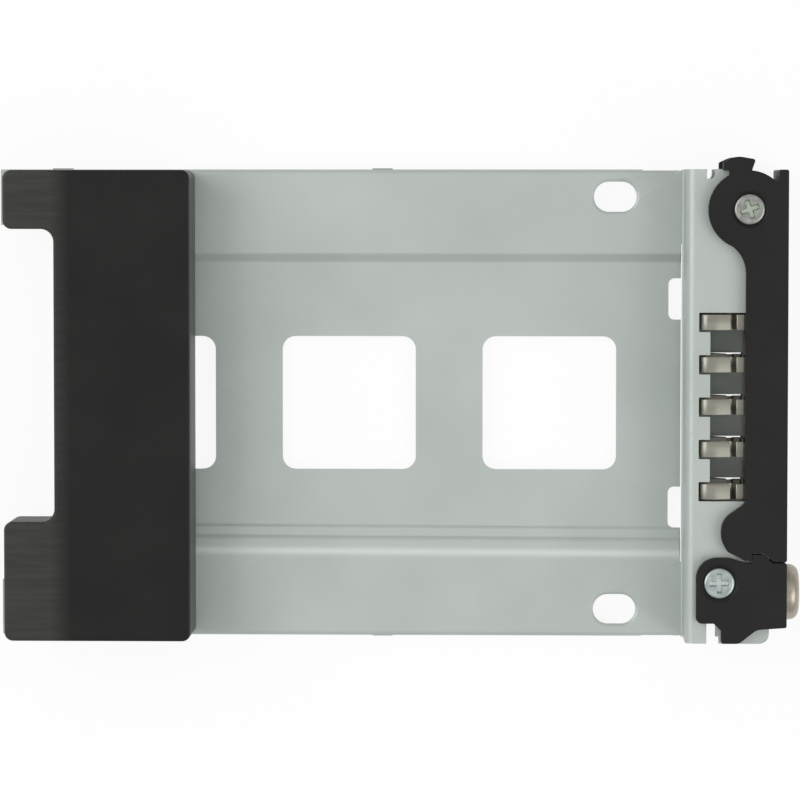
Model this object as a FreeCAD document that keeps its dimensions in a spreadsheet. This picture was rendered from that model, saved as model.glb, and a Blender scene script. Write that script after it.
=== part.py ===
import FreeCAD, Part
import math
import os
import Sketcher

# Hot swap tray for a 2.5 inch drive. The frame is the drive's own: the origin lies midway between
# the two front drive screws on the seat that the drive lies on, +X points out of the server,
# +Y to the lever's pivot and +Z up from the seat. Lengths are millimetres.

V = FreeCAD.Vector
doc = FreeCAD.newDocument("drive_caddy")

# ---------------------------------------------------------------- driving dimensions
SIZES = [
    # sheet metal
    ("sheet_gauge", 1.0, "thickness of the folded sheets"),
    ("bend_inner", 0.3, "inside radius of the folds"),
    # tray floor
    ("tray_width", 69.84, "width of the tray, that of a 2.5 inch drive"),
    ("tray_rear", 91.86, "front screw line to the tray's rear edge"),
    ("wall_ahead", 10.24, "front screw line to the rear face of the front wall"),
    ("channel_half", 20.0, "half width of the flat channel floor"),
    ("channel_depth", 1.0, "how far the channel lies below the drive seat"),
    ("ramp_run", 3.0, "width of the joggle from channel to seat"),
    ("ledge_width", 1.3, "width of the small ledge beside the channel"),
    ("ledge_rise", 0.3, "height of that ledge above the channel"),
    ("window_side", 20.0, "side of the square floor windows"),
    ("window_corner", 2.0, "corner radius of the windows"),
    ("window_pitch", 30.0, "spacing of the windows"),
    ("window_behind", 9.76, "front screw line to the middle of the first window"),
    ("screw_edge", 4.06, "side of the tray to the drive screws"),
    ("screw_row_length", 76.6, "spacing of the drive screws along the tray"),
    ("screw_slot_length", 6.4, "length of the drive screw slots"),
    ("screw_slot_width", 4.5, "width of the drive screw slots"),
    ("screw_slot_bevel", 0.45, "bevel round the drive screw slots"),
    ("slit_gap", 0.4, "slit between channel floor and front wall"),
    ("slit_inset", 11.12, "side of the tray to the ends of that slit"),
    ("relief_near", 12.5, "centre line to the near end of the slit's reliefs"),
    ("relief_width", 6.2, "width of the slit's reliefs"),
    ("relief_depth", 2.25, "depth of the slit's reliefs behind the wall"),
    ("relief_corner", 0.9, "corner radius of the slit's reliefs"),
    ("rear_cut_inset", 8.32, "side of the tray to the connector cut-out at the rear"),
    ("rear_cut_depth", 9.4, "depth of the connector cut-out"),
    ("rear_cut_corner", 2.5, "corner radius of the connector cut-out"),
    ("runner_drop", 2.8, "drive seat to the lower edge of the side runners"),
    ("runner_rear_inset", 2.6, "rear edge of the tray to the runners' rear end"),
    ("runner_front_inset", 6.2, "front wall to the runners' front end"),
    ("edge_step", 0.15, "step in the floor's edge ahead of the runners"),
    ("nub_length", 3.0, "length of the runners' side nubs"),
    ("nub_proud", 0.15, "how far the side nubs stand out"),
    ("nub_rear", 9.2, "rear edge of the tray to the rear nub"),
    ("nub_pitch", 47.9, "spacing of the side nubs"),
    # front box of the tray
    ("box_height", 8.4, "clear height between the upper and lower front flanges"),
    ("flange_reach", 12.3, "rear face of the wall to the flanges' front edge"),
    ("flange_corner", 1.5, "radius of the flanges' right front corner"),
    ("left_notch_ahead", 2.9, "wall to the left edge notch"),
    ("left_notch_width", 1.2, "width of the left edge notch"),
    ("left_notch_depth", 1.4, "depth of the left edge notch"),
    ("right_notch_ahead", 3.1, "wall to the right edge notch"),
    ("right_notch_width", 1.8, "width of the right edge notch"),
    ("right_notch_depth", 3.4, "depth of the right edge notch"),
    ("vent_width", 2.4, "width of the air slots in wall and lever"),
    ("vent_pitch", 4.0, "spacing of the air slots"),
    ("wall_vent_low", 3.6, "seat to the lower edge of the wall's air slots"),
    ("wall_vent_height", 3.8, "height of the wall's air slots"),
    ("bracket_leg", 3.2, "height of the lower flange's upright leg"),
    ("rivet_radius", 0.8, "radius of the rivet shanks"),
    ("rivet_head_radius", 1.3, "radius of the rivet heads"),
    ("rivet_head_height", 0.5, "height of the rivet heads"),
    ("rivet_inset", 3.42, "side of the tray to the rivets"),
    ("rivet_rise", 1.75, "seat to the rivets"),
    ("snug_gap", 0.02, "clearance round pins and rivets that are held fast"),
    # contact strips
    ("strip_gauge", 0.2, "thickness of the contact strips"),
    ("finger_width", 2.25, "width of a contact finger"),
    ("finger_pitch", 6.23, "spacing of the contact fingers"),
    ("finger_gap", 0.3, "clearance round a finger in its slot"),
    ("finger_back", 2.0, "rear face of the wall to the fingers' rolled edge"),
    ("finger_roll", 1.25, "radius of the rolled edge"),
    ("finger_free", 6.45, "rear face of the wall to the fingers' free end"),
    ("finger_proud", 0.45, "how far the fingers stand above the flange"),
    ("tab_back", 7.4, "rear face of the wall to the tabs' rear edge"),
    ("strip_window_back", 3.5, "rear face of the wall to the strip's window"),
    ("strip_window_front", 8.9, "rear face of the wall to the window's front edge"),
    ("strip_front", 11.5, "rear face of the wall to the strip's front edge"),
    # rear block
    ("block_inset", 1.8, "tray's rear edge to the block"),
    ("block_length", 27.3, "length of the rear block"),
    ("block_side_gap", 0.12, "side of the tray to the side of the block"),
    ("block_height", 10.2, "height of the rear block above the seat"),
    ("block_wall", 1.8, "wall of the rear block"),
    ("block_corner", 1.3, "outer corner radius of the block"),
    ("block_edge", 0.45, "rounding of the block's upper edges"),
    ("block_notch_depth", 7.16, "depth of the connector notch in the block"),
    ("block_notch_width", 43.2, "width of the connector notch"),
    ("block_notch_offset", 4.5, "centre line to the middle of the notch"),
    ("block_notch_corner", 1.9, "inner corner radius of the notch"),
    ("block_rib", 1.2, "thickness of the ribs under the block"),
    ("boss_radius", 2.9, "radius of the screw bosses under the block"),
    ("boss_bore", 1.3, "bore radius of the screw bosses"),
    ("boss_bore_depth", 7.0, "depth of the bores in the bosses"),
    ("block_screw_head", 2.7, "head radius of the screws under the block"),
    ("block_screw_height", 1.3, "head height of the screws under the block"),
    ("block_screw_length", 6.5, "shank length of the screws under the block"),
    ("thread_gap", 0.05, "clearance between a shank and its bore"),
    # ears, pivots and their screws
    ("ear_gap", 0.1, "running gap between the ears and the flanges"),
    ("ear_gauge", 1.5, "thickness of the ears"),
    ("panel_gap", 1.1, "flange edge to the inside of the lever's front"),
    ("panel_wall", 1.4, "thickness of the lever's front"),
    ("edge_round", 0.3, "least corner radius of the moulded outlines"),
    ("journal_radius", 1.9, "radius of the pivot journals"),
    ("journal_gap", 0.05, "running clearance of the pivots"),
    ("spacer_radius", 2.5, "radius of the pivot bushes between the flanges"),
    ("counterbore_radius", 2.75, "radius of the counterbores round the pivot screws"),
    ("counterbore_floor", 0.6, "sheet left under the counterbores"),
    ("head_gap", 0.05, "gap between the counterbore floor and the screw head"),
    ("pivot_screw_head", 2.25, "head radius of the pivot screws"),
    ("pivot_screw_height", 0.95, "head height of the pivot screws"),
    ("pivot_screw_radius", 1.25, "shank radius of the pivot screws"),
    ("pivot_screw_length", 4.5, "shank length of the pivot screws"),
    ("recess_reach", 1.3, "reach of the cross recess from the screw's axis"),
    ("recess_width", 0.5, "width of the cross recess"),
    ("recess_depth", 0.6, "depth of the cross recess"),
    # lever
    ("lever_pivot_ahead", 9.1, "rear face of the wall to the lever's pivot"),
    ("lever_pivot_inset", 5.87, "side of the tray to the lever's pivot"),
    ("lever_head", 5.8, "radius of the lever's round head"),
    ("head_shift", 0.2, "head's centre behind the pivot"),
    ("arm_back", 0.47, "pivot to the arm's rear edge"),
    ("neck_corner", 5.0, "radius between head and arm"),
    ("fin_rise", 5.8, "pivot to the end of the lever's front"),
    ("fin_root", 3.4, "pivot to the root of that end"),
    ("chamfer_reach", 4.1, "pivot to the bevelled corner of the flanges"),
    ("lever_open", 50.0, "opening angle of the lever, degrees"),
    ("hook_rise", 7.8, "pivot to the top of the lever's hook"),
    ("hook_back", 3.9, "pivot to the rear of the hook"),
    ("hook_neck_back", 3.0, "pivot to the rear of the hook's neck"),
    ("hook_tip", 0.85, "pivot to the hook's tip"),
    ("hook_neck_front", 0.3, "pivot to the front of the hook's neck"),
    ("hook_height", 2.1, "height of the hook's head"),
    ("hook_nose_drop", 0.5, "top of the hook to its tip"),
    ("hook_shoulder_drop", 0.9, "top of the hook to its rear shoulder"),
    ("hook_crown_round", 3.0, "radius of the hook's crown"),
    ("hook_throat_round", 0.7, "radius under the hook's tip"),
    ("lobe_back", 3.95, "pivot to the rear of the lobe at the arm's end"),
    ("lobe_length", 8.57, "length of that lobe"),
    ("lobe_root_round", 1.0, "radius where the arm widens into the lobe"),
    ("lobe_crest", 6.1, "lever's end to the lobe's upper corner"),
    ("lobe_belly", 3.15, "lever's end to the lobe's lower corner"),
    ("lobe_round", 3.0, "radius of those two corners"),
    ("lobe_toe_inset", 0.9, "rear of the lobe to its toe"),
    ("lobe_toe_rise", 1.5, "lever's end to the toe"),
    ("lobe_toe_round", 0.8, "radius of the toe"),
    ("nib_shoulder", 0.9, "length of the flat behind the latch's nib"),
    ("lever_vent_height", 6.0, "height of the lever's air slots"),
    ("nib_gap", 0.2, "gap between the lever's end and the latch"),
    # latch
    ("latch_pivot_ahead", 4.9, "rear face of the wall to the latch's pivot"),
    ("latch_pivot_inset", 9.07, "side of the tray to the latch's pivot"),
    ("latch_wall", 1.0, "thickness of the latch's front"),
    ("latch_back", 3.4, "pivot to the latch's rear edge"),
    ("latch_crown", 3.72, "pivot to the top of the latch"),
    ("latch_foot", 5.95, "pivot to the latch's lower rear edge"),
    ("latch_front_low", 6.55, "pivot to the lower end of the latch's front"),
    ("latch_front_high", 2.98, "pivot to the upper end of the latch's front"),
    ("nib_back", 4.8, "pivot to the nib's locking face"),
    ("nib_width", 1.5, "width of the nib's flat"),
    ("nib_ramp", 1.6, "length of the nib's ramp"),
    ("nib_rise", 4.25, "pivot to the top of the nib"),
    ("latch_hook_inset", 0.15, "tray's edge to the tip of the latch's hook"),
    ("latch_hook_back", 0.3, "pivot to the rear edge of the latch's hook"),
    ("latch_hook_reach", 2.9, "pivot to the front of the hook's tip"),
    ("latch_hook_round", 1.4, "radius at the front of the hook's tip"),
    ("latch_chin_reach", 5.5, "pivot to where the hook's slope meets the latch"),
    ("latch_chin_drop", 0.3, "lower end of the latch's front to that place"),
    ("latch_chin_round", 2.0, "radius there"),
    ("latch_heel_reach", 0.8, "pivot to the slope behind the hook"),
    ("latch_heel_drop", 1.1, "depth of that slope"),
    ("latch_heel_round", 0.9, "radius of the latch's lower rear corner"),
    ("latch_brow_reach", 1.4, "pivot to the front of the latch's crown"),
    ("latch_brow_round", 1.6, "radius of the crown's front"),
    ("latch_saddle", 1.0, "length of the saddle behind the nib"),
    ("latch_saddle_round", 0.8, "radius of that saddle"),
    # button
    ("button_radius", 4.12, "radius of the release button"),
    ("button_gap", 0.2, "clearance round the button"),
    ("button_proud", 2.1, "how far the button stands out"),
    ("button_round", 1.4, "rounding of the button's rim"),
    ("button_below", 1.85, "latch pivot to the button's axis"),
    ("button_plate", 0.8, "thickness of the button's inner plate"),
    ("button_plate_half", 4.7, "half length of that plate"),
    ("button_plate_height", 7.6, "height of that plate"),
    ("nose_height", 4.0, "height of the button's wedge nose"),
    ("nose_width", 4.6, "width of the button's wedge nose"),
    ("wedge_angle", 40.0, "angle of the wedge, degrees"),
    ("peg_radius", 1.0, "radius of the fixed peg"),
    ("peg_ahead", 5.2, "latch pivot to the fixed peg"),
    ("wedge_gap", 0.15, "gap between wedge and peg"),
    # springs
    ("spring_wire", 0.5, "wire diameter of the torsion springs"),
    ("spring_gap", 0.25, "gap between a bush and its spring"),
    ("spring_turns", 3.0, "turns of the torsion springs"),
    ("spring_pitch", 0.6, "pitch of the torsion springs"),
    ("spring_leg_lean", 10.0, "angle at which a spring's moving leg leans, degrees"),
    ("leg_gap", 0.15, "gap between a spring leg and what it bears on"),
]

sheet = doc.addObject("Spreadsheet::Sheet", "Dims")
for row, (alias, number, meaning) in enumerate(SIZES, start=1):
    sheet.set(f"A{row}", alias)
    sheet.set(f"B{row}", str(number))
    sheet.set(f"C{row}", meaning)
    sheet.setAlias(f"B{row}", alias)
doc.recompute()


class Size:
    """A length that carries its formula over the sheet's cells with its present value."""

    def __init__(self, value, formula):
        self.value = value
        self.formula = formula

    def joined(self, other, sign, value):
        return Size(value, f"({self.formula} {sign} {size(other).formula})")

    def __add__(self, other):
        return self.joined(other, "+", self.value + size(other).value)

    def __sub__(self, other):
        return self.joined(other, "-", self.value - size(other).value)

    def __mul__(self, other):
        return self.joined(other, "*", self.value * size(other).value)

    def __truediv__(self, other):
        return self.joined(other, "/", self.value / size(other).value)

    def __radd__(self, other):
        return size(other) + self

    def __rsub__(self, other):
        return size(other) - self

    def __rmul__(self, other):
        return size(other) * self

    def __neg__(self):
        return Size(-self.value, f"(0 - {self.formula})")


def size(number):
    """A plain number as a Size."""
    return number if isinstance(number, Size) else Size(float(number), f"{number}")


def hypotenuse(a, b):
    return Size(math.hypot(a.value, b.value), f"sqrt({a.formula}^2 + {b.formula}^2)")


def sine(angle):
    return Size(math.sin(math.radians(angle.value)), f"sin({angle.formula} * 1 deg)")


def cosine(angle):
    return Size(math.cos(math.radians(angle.value)), f"cos({angle.formula} * 1 deg)")


class Dims:
    """Every cell of the sheet as a Size of the same name."""


for alias, number, meaning in SIZES:
    setattr(Dims, alias, Size(number, f"Dims.{alias}"))
d = Dims


# ---------------------------------------------------------------- ways of modelling
def bind(feature, prop, length):
    """Set a property and tie it to its formula."""
    length = size(length)
    setattr(feature, prop, length.value)
    feature.setExpression(prop, length.formula)


def new_body(label):
    body = doc.addObject("PartDesign::Body", "body_" + label)
    body.Label = label
    return body


class Drawing:
    """A sketch on one of a body's own origin planes, raised along its normal by level.

    Geometry and constraints are gathered first and go into the sketch together.
    """

    def __init__(self, body, name, plane="XY", level=0.0):
        self.sketch = body.newObject("Sketcher::SketchObject", name)
        role = plane + "_Plane"
        support = [item for item in body.Origin.OriginFeatures if item.Role == role][0]
        self.sketch.AttachmentSupport = [(support, "")]
        self.sketch.MapMode = "FlatFace"
        level = size(level)
        raised = FreeCAD.Placement(V(0, 0, level.value), FreeCAD.Rotation())
        self.sketch.AttachmentOffset = raised
        self.sketch.setExpression("AttachmentOffset.Base.z", level.formula)
        self.geometry = []
        self.helpers = []
        self.constraints = []
        self.formulas = []

    def draw(self, item, helper=False):
        self.geometry.append(item)
        self.helpers.append(helper)
        return len(self.geometry) - 1

    def hold(self, kind, *where):
        self.constraints.append(Sketcher.Constraint(kind, *where))

    def measure(self, kind, *where):
        """A constraint whose last argument is a Size that drives it."""
        length = where[-1]
        self.formulas.append((len(self.constraints), length.formula))
        self.hold(kind, *where[:-1], length.value)

    def place(self, geometry, point, x, y):
        """Hold a point at x, y from the sketch's origin."""
        self.measure("DistanceX", -1, 1, geometry, point, x)
        self.measure("DistanceY", -1, 1, geometry, point, y)

    def done(self):
        """Put everything into the sketch and give it back."""
        self.sketch.addGeometry(self.geometry, False)
        for index, helper in enumerate(self.helpers):
            if helper:
                self.sketch.setConstruction(index, True)
        self.sketch.addConstraint(self.constraints)
        for row, formula in self.formulas:
            self.sketch.setExpression(f"Constraints[{row}]", formula)
        return self.sketch

    def circle(self, x, y, radius):
        x, y, radius = size(x), size(y), size(radius)
        drawn = self.draw(Part.Circle(V(x.value, y.value, 0), V(0, 0, 1), radius.value))
        self.place(drawn, 3, x, y)
        self.measure("Radius", drawn, radius)

    def outline(self, corners, closed=True):
        """Straight runs between corners (x, y) or rounded corners (x, y, radius), in order."""
        corners = [tuple(size(item) for item in corner) for corner in corners]
        points = [V(corner[0].value, corner[1].value, 0) for corner in corners]
        count = len(corners)
        ends = []
        for index, corner in enumerate(corners):
            point = points[index]
            if len(corner) == 3 and corner[2].value > 0:
                start, end, arc, first = corner_arc(
                    points[index - 1], point, points[(index + 1) % count], corner[2].value
                )
                ends.append((start, end, self.draw(arc), first))
            else:
                ends.append((point, point, None, None))
        runs = []
        for index in range(count if closed else count - 1):
            runs.append(self.draw(Part.LineSegment(ends[index][1], ends[(index + 1) % count][0])))
        for index, corner in enumerate(corners):
            arc, first = ends[index][2:]
            before = runs[index - 1] if closed or index else None
            after = runs[index] if index < len(runs) else None
            if arc is None:
                if before is not None and after is not None:
                    self.hold("Coincident", before, 2, after, 1)
                held = (before, 2) if after is None else (after, 1)
                self.place(*held, corner[0], corner[1])
                continue
            apex = self.draw(Part.Point(points[index]), helper=True)
            self.place(apex, 1, corner[0], corner[1])
            self.hold("PointOnObject", apex, 1, before)
            self.hold("PointOnObject", apex, 1, after)
            self.hold("Tangent", before, 2, arc, first)
            self.hold("Tangent", arc, 3 - first, after, 1)
            self.measure("Radius", arc, corner[2])

    def rectangle(self, x0, y0, x1, y1, radius=0.0):
        self.outline([(x0, y0, radius), (x1, y0, radius), (x1, y1, radius), (x0, y1, radius)])

    def slot(self, x, y, length, width):
        """A slot with round ends along the sketch's X, round its middle."""
        x, y, length, width = size(x), size(y), size(length), size(width)
        reach, radius = (length - width) / 2, width / 2
        centres = [x + reach, x - reach]
        arcs = []
        for centre, angle in zip(centres, (-math.pi / 2, math.pi / 2)):
            circle = Part.Circle(V(centre.value, y.value, 0), V(0, 0, 1), radius.value)
            arcs.append(self.draw(Part.ArcOfCircle(circle, angle, angle + math.pi)))
        for centre, arc in zip(centres, arcs):
            self.place(arc, 3, centre, y)
            self.measure("Radius", arc, radius)
        for first, second, side in ((0, 1, 1), (1, 0, -1)):
            height = y.value + side * radius.value
            start = V(centres[first].value, height, 0)
            run = self.draw(Part.LineSegment(start, V(centres[second].value, height, 0)))
            self.hold("Tangent", arcs[first], 2, run, 1)
            self.hold("Tangent", run, 2, arcs[second], 1)


def corner_arc(before, at, after, radius):
    """Where a corner's round starts and ends, its arc, and which end of the arc comes first."""
    back = (before - at).normalize()
    ahead = (after - at).normalize()
    half = back.getAngle(ahead) / 2
    start = at + back * (radius / math.tan(half))
    end = at + ahead * (radius / math.tan(half))
    centre = at + (back + ahead).normalize() * (radius / math.sin(half))
    turns_left = back.cross(ahead).z < 0
    first, last = (start, end) if turns_left else (end, start)
    angle = math.atan2(first.y - centre.y, first.x - centre.x)
    sweep = math.atan2(last.y - centre.y, last.x - centre.x) - angle
    circle = Part.Circle(centre, V(0, 0, 1), radius)
    arc = Part.ArcOfCircle(circle, angle, angle + sweep % (2 * math.pi))
    return start, end, arc, (1 if turns_left else 2)


def pad(body, drawing, length, backwards=False):
    sketch = drawing.done()
    feature = body.newObject("PartDesign::Pad", "pad_" + sketch.Name)
    feature.Profile = sketch
    feature.Reversed = backwards
    bind(feature, "Length", length)
    return feature


def pocket(body, drawing, depth, backwards=False):
    """Cut the drawing's area downwards from its plane, or upwards when backwards is set."""
    sketch = drawing.done()
    feature = body.newObject("PartDesign::Pocket", "cut_" + sketch.Name)
    feature.Profile = sketch
    feature.Reversed = backwards
    bind(feature, "Length", depth)
    return feature


def repeat(body, feature, pitch, count):
    """Repeat a feature along the X axis of its own sketch."""
    doc.recompute()
    pattern = body.newObject("PartDesign::LinearPattern", "row_of_" + feature.Name)
    pattern.Originals = [feature]
    pattern.Direction = (feature.Profile[0], ["H_Axis"])
    pattern.Occurrences = count
    bind(pattern, "Length", pitch * (count - 1))
    body.Tip = pattern
    return pattern


def dress(body, kind, radius, chosen):
    """Fillet or chamfer the edges of the body's last feature that chosen accepts."""
    doc.recompute()
    base = body.Tip
    names = [
        f"Edge{index}" for index, edge in enumerate(base.Shape.Edges, start=1) if chosen(edge)
    ]
    feature = body.newObject("PartDesign::" + kind, kind.lower() + "_" + base.Name)
    feature.Base = (base, names)
    bind(feature, "Radius" if kind == "Fillet" else "Size", radius)
    return feature


def lies_at(edge, height):
    """Whether a whole edge lies at one height."""
    box = edge.BoundBox
    return abs(box.ZMin - height.value) < 1e-4 and abs(box.ZMax - height.value) < 1e-4


# ---------------------------------------------------------------- places shared by the pieces
half_width = d.tray_width / 2
tray_back = -d.tray_rear
wall_rear = d.wall_ahead
wall_front = wall_rear + d.sheet_gauge
bend_outer = d.bend_inner + d.sheet_gauge
lip = wall_rear + d.flange_reach
flange_top = d.box_height + d.sheet_gauge
floor_under = -d.sheet_gauge
screw_side = half_width - d.screw_edge
rivet_side = half_width - d.rivet_inset
rear_screws = -d.screw_row_length

ear_top_low = flange_top + d.ear_gap
ear_top = ear_top_low + d.ear_gauge
ear_bottom_high = floor_under - d.ear_gap
ear_bottom = ear_bottom_high - d.ear_gauge
ear_span = ear_top - ear_bottom
bush_top = ear_top_low + d.counterbore_floor + d.head_gap
bush_bottom = ear_bottom_high - d.counterbore_floor - d.head_gap
panel_in = lip + d.panel_gap
front = panel_in + d.panel_wall
mid_height = d.box_height / 2

lever_x = wall_rear + d.lever_pivot_ahead
lever_y = half_width - d.lever_pivot_inset
latch_x = wall_rear + d.latch_pivot_ahead
latch_y = d.latch_pivot_inset - half_width
button_y = latch_y - d.button_below
peg_x = latch_x + d.peg_ahead
FINGERS = (-2, -1, 0, 1, 2)


# ---------------------------------------------------------------- front flanges
def cut_flange_shape(body, low, depth, bridged):
    """Cut the outline, notches, finger openings and pin holes of a front flange.

    The fingers share one window, or have a slot each where the flange is bridged between them.
    """
    high = low + depth
    cut = lambda name: Drawing(body, name, "XY", high)

    # The left corner clears the lever's front as it swings; the right one is rounded.
    tilt = d.lever_open
    reach = d.chamfer_reach
    meets_lip = lever_y + (reach - (lip - lever_x) * cosine(tilt)) / sine(tilt)
    meets_side = lever_x + (reach - (half_width - lever_y) * sine(tilt)) / cosine(tilt)
    beyond = d.sheet_gauge
    corner = cut("lever_corner")
    corner.outline([
            (lip + beyond, meets_lip - beyond * cosine(tilt) / sine(tilt)),
            (lip + beyond, half_width + beyond),
            (meets_side - beyond * sine(tilt) / cosine(tilt), half_width + beyond),
        ],
    )
    pocket(body, corner, depth)

    notches = cut("edge_notches")
    left = wall_rear + d.left_notch_ahead
    notches.outline([
            (left, half_width + beyond),
            (left, half_width - d.left_notch_depth),
            (left + d.left_notch_width, half_width - d.left_notch_depth, d.left_notch_width / 2),
            (left + d.left_notch_width, half_width + beyond),
        ],
    )
    right = wall_rear + d.right_notch_ahead
    notches.outline([
            (right, -half_width - beyond),
            (right + d.right_notch_width, -half_width - beyond),
            (right + d.right_notch_width, d.right_notch_depth - half_width, d.bend_inner),
            (right, d.right_notch_depth - half_width, d.bend_inner),
        ],
    )
    pocket(body, notches, depth)

    window = cut("strip_window")
    half_slot = d.finger_width / 2 + d.finger_gap
    window_back = wall_rear + d.strip_window_back
    slot_back = wall_rear + d.finger_back - d.finger_gap / 2
    window_front = wall_rear + d.strip_window_front
    if bridged:
        for number in FINGERS:
            across = number * d.finger_pitch
            near, far = across - half_slot, across + half_slot
            window.rectangle(slot_back, near, window_front, far, d.finger_gap / 2)
    else:
        outermost = FINGERS[-1] * d.finger_pitch + half_slot
        corners = [(window_front, -outermost), (window_front, outermost)]
        for number in reversed(FINGERS):
            across = number * d.finger_pitch
            corners += [
                (window_back, across + half_slot),
                (slot_back, across + half_slot, d.finger_gap / 2),
                (slot_back, across - half_slot, d.finger_gap / 2),
                (window_back, across - half_slot),
            ]
        # The outermost slots run straight on from the window's ends.
        window.outline(corners[:2] + corners[3:-1])
    pocket(body, window, depth)

    holes = cut("pin_holes")
    holes.circle(lever_x, lever_y, d.journal_radius + d.snug_gap)
    holes.circle(latch_x, latch_y, d.journal_radius + d.snug_gap)
    holes.circle(peg_x, button_y, d.peg_radius + d.snug_gap)
    pocket(body, holes, depth)

    dress(
        body,
        "Fillet",
        d.flange_corner,
        lambda edge: len(edge.Vertexes) == 2
        and abs(edge.BoundBox.XMin - lip.value) < 1e-4
        and abs(edge.BoundBox.XMax - lip.value) < 1e-4
        and abs(edge.BoundBox.YMax + half_width.value) < 1e-4
        and edge.BoundBox.ZLength > 0.9 * d.sheet_gauge.value,
    )


def cut_vents(body, name, plane_x, depth, low, height, first, count):
    """A row of upright air slots through a wall that faces the front."""
    vent = Drawing(body, name, "YZ", plane_x)
    across = first * d.vent_pitch
    left, right = across - d.vent_width / 2, across + d.vent_width / 2
    vent.rectangle(left, low, right, low + height, d.vent_width / 4)
    repeat(body, pocket(body, vent, depth), d.vent_pitch, count)


# ---------------------------------------------------------------- drive tray
def make_drive_tray():
    """One zinc plated sheet: channelled floor, runners folded down, front wall and top flange."""
    body = new_body("drive_tray")
    t = d.sheet_gauge
    ramp_in, ramp_out = d.channel_half, d.channel_half + d.ramp_run
    # Both faces of a joggle bend lie this far apart along the section, so the gauge stays even.
    shift = t * (hypotenuse(d.ramp_run, d.channel_depth) - d.ramp_run) / d.channel_depth
    deep, ledge = -d.channel_depth, d.ledge_rise - d.channel_depth
    ledge_edge = ramp_in - d.ledge_width
    bend = d.bend_inner

    # The wall folds up from the two seat strips and forward into the top flange.
    wall = Drawing(body, "wall_section", "XZ", -half_width)
    fold_start = wall_rear - bend
    wall.outline([
            (fold_start - t, 0),
            (wall_rear, 0, bend),
            (wall_rear, flange_top, bend_outer),
            (lip, flange_top),
            (lip, d.box_height),
            (wall_front, d.box_height, bend),
            (wall_front, -t, bend_outer),
            (fold_start - t, -t),
        ],
    )
    pad(body, wall, d.tray_width)
    between_strips = Drawing(body, "between_strips", "XY", 0)
    slit_end = half_width - d.slit_inset
    between_strips.rectangle(fold_start - 2 * t, -slit_end, wall_front + t, slit_end)
    pocket(body, between_strips, 2 * t)

    section = Drawing(body, "floor_section", "YZ", tray_back)
    section.outline([
            (-half_width, 0, bend + t / 2),
            (-ramp_out, 0, bend + t),
            (-ramp_in, ledge, bend),
            (-ledge_edge, ledge, bend / 2),
            (d.ledge_rise - ledge_edge, deep, bend / 2),
            (ramp_in, deep, bend),
            (ramp_out, 0, bend + t),
            (half_width, 0, bend + t / 2),
            (half_width, -d.runner_drop),
            (half_width - t, -d.runner_drop),
            (half_width - t, -t, bend / 2),
            (ramp_out + shift, -t, bend),
            (ramp_in + shift, deep - t, bend + t),
            (d.ledge_rise - ledge_edge, deep - t, bend / 2),
            (-ledge_edge, ledge - t, bend / 2),
            (-ramp_in - shift, ledge - t, bend),
            (-ramp_out - shift, -t, bend),
            (t - half_width, -t, bend / 2),
            (t - half_width, -d.runner_drop),
            (-half_width, -d.runner_drop),
        ],
    )
    slit_back = wall_rear - d.slit_gap
    pad(body, section, slit_back - tray_back)

    # The runners stop short of both ends and the floor steps in a little ahead of them.
    runner_front = wall_rear - d.runner_front_inset
    runner_back = tray_back + d.runner_rear_inset
    runner_ends = Drawing(body, "runner_ends", "XY", -t)
    keep = ramp_out + t
    runner_ends.rectangle(runner_front, keep, wall_rear - bend, half_width + t)
    runner_ends.rectangle(runner_front, -half_width - t, wall_rear - bend, -keep)
    runner_ends.rectangle(tray_back - t, keep, runner_back, half_width + t)
    runner_ends.rectangle(tray_back - t, -half_width - t, runner_back, -keep)
    pocket(body, runner_ends, d.runner_drop)

    steps = Drawing(body, "edge_steps", "XY", flange_top)
    steps.rectangle(runner_front, half_width - d.edge_step, fold_start, half_width + t)
    steps.rectangle(runner_front, -half_width - t, fold_start, d.edge_step - half_width)
    pocket(body, steps, flange_top + t)

    reliefs = Drawing(body, "slit_reliefs", "XY", 0)
    relief_back = wall_rear - d.relief_depth
    corner = d.relief_corner
    for near in (d.relief_near, -d.relief_near - d.relief_width):
        far = near + d.relief_width
        reliefs.outline(
            [
                (relief_back, near, corner),
                (slit_back + t, near),
                (slit_back + t, far),
                (relief_back, far, corner),
            ]
        )
    pocket(body, reliefs, d.channel_depth + 2 * t)

    window = Drawing(body, "window", "XY", 0)
    half_window = d.window_side / 2
    middle = -d.window_behind - 2 * d.window_pitch
    window.rectangle(
        middle - half_window,
        -half_window,
        middle + half_window,
        half_window,
        d.window_corner,
    )
    repeat(body, pocket(body, window, d.channel_depth + 2 * t), d.window_pitch, 3)

    rear_cut = Drawing(body, "connector_cut", "XY", 0)
    cut_side = half_width - d.rear_cut_inset
    cut_front = tray_back + d.rear_cut_depth
    rear_cut.outline([
            (tray_back - t, -cut_side),
            (cut_front, -cut_side, d.rear_cut_corner),
            (cut_front, cut_side, d.rear_cut_corner),
            (tray_back - t, cut_side),
        ],
    )
    pocket(body, rear_cut, d.channel_depth + 2 * t)

    slots = Drawing(body, "screw_slots", "XY", 0)
    for along in (size(0), rear_screws):
        for across in (screw_side, -screw_side):
            slots.slot(along, across, d.screw_slot_length, d.screw_slot_width)
    pocket(body, slots, t)

    def rims_a_slot(edge):
        box = edge.BoundBox
        along, across = (box.XMin + box.XMax) / 2, abs(box.YMin + box.YMax) / 2
        return (
            lies_at(edge, size(0))
            and abs(across - screw_side.value) < d.screw_slot_width.value / 2 + 0.01
            and min(abs(along), abs(along - rear_screws.value)) < d.screw_slot_length.value / 2
        )

    dress(body, "Chamfer", d.screw_slot_bevel, rims_a_slot)

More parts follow.
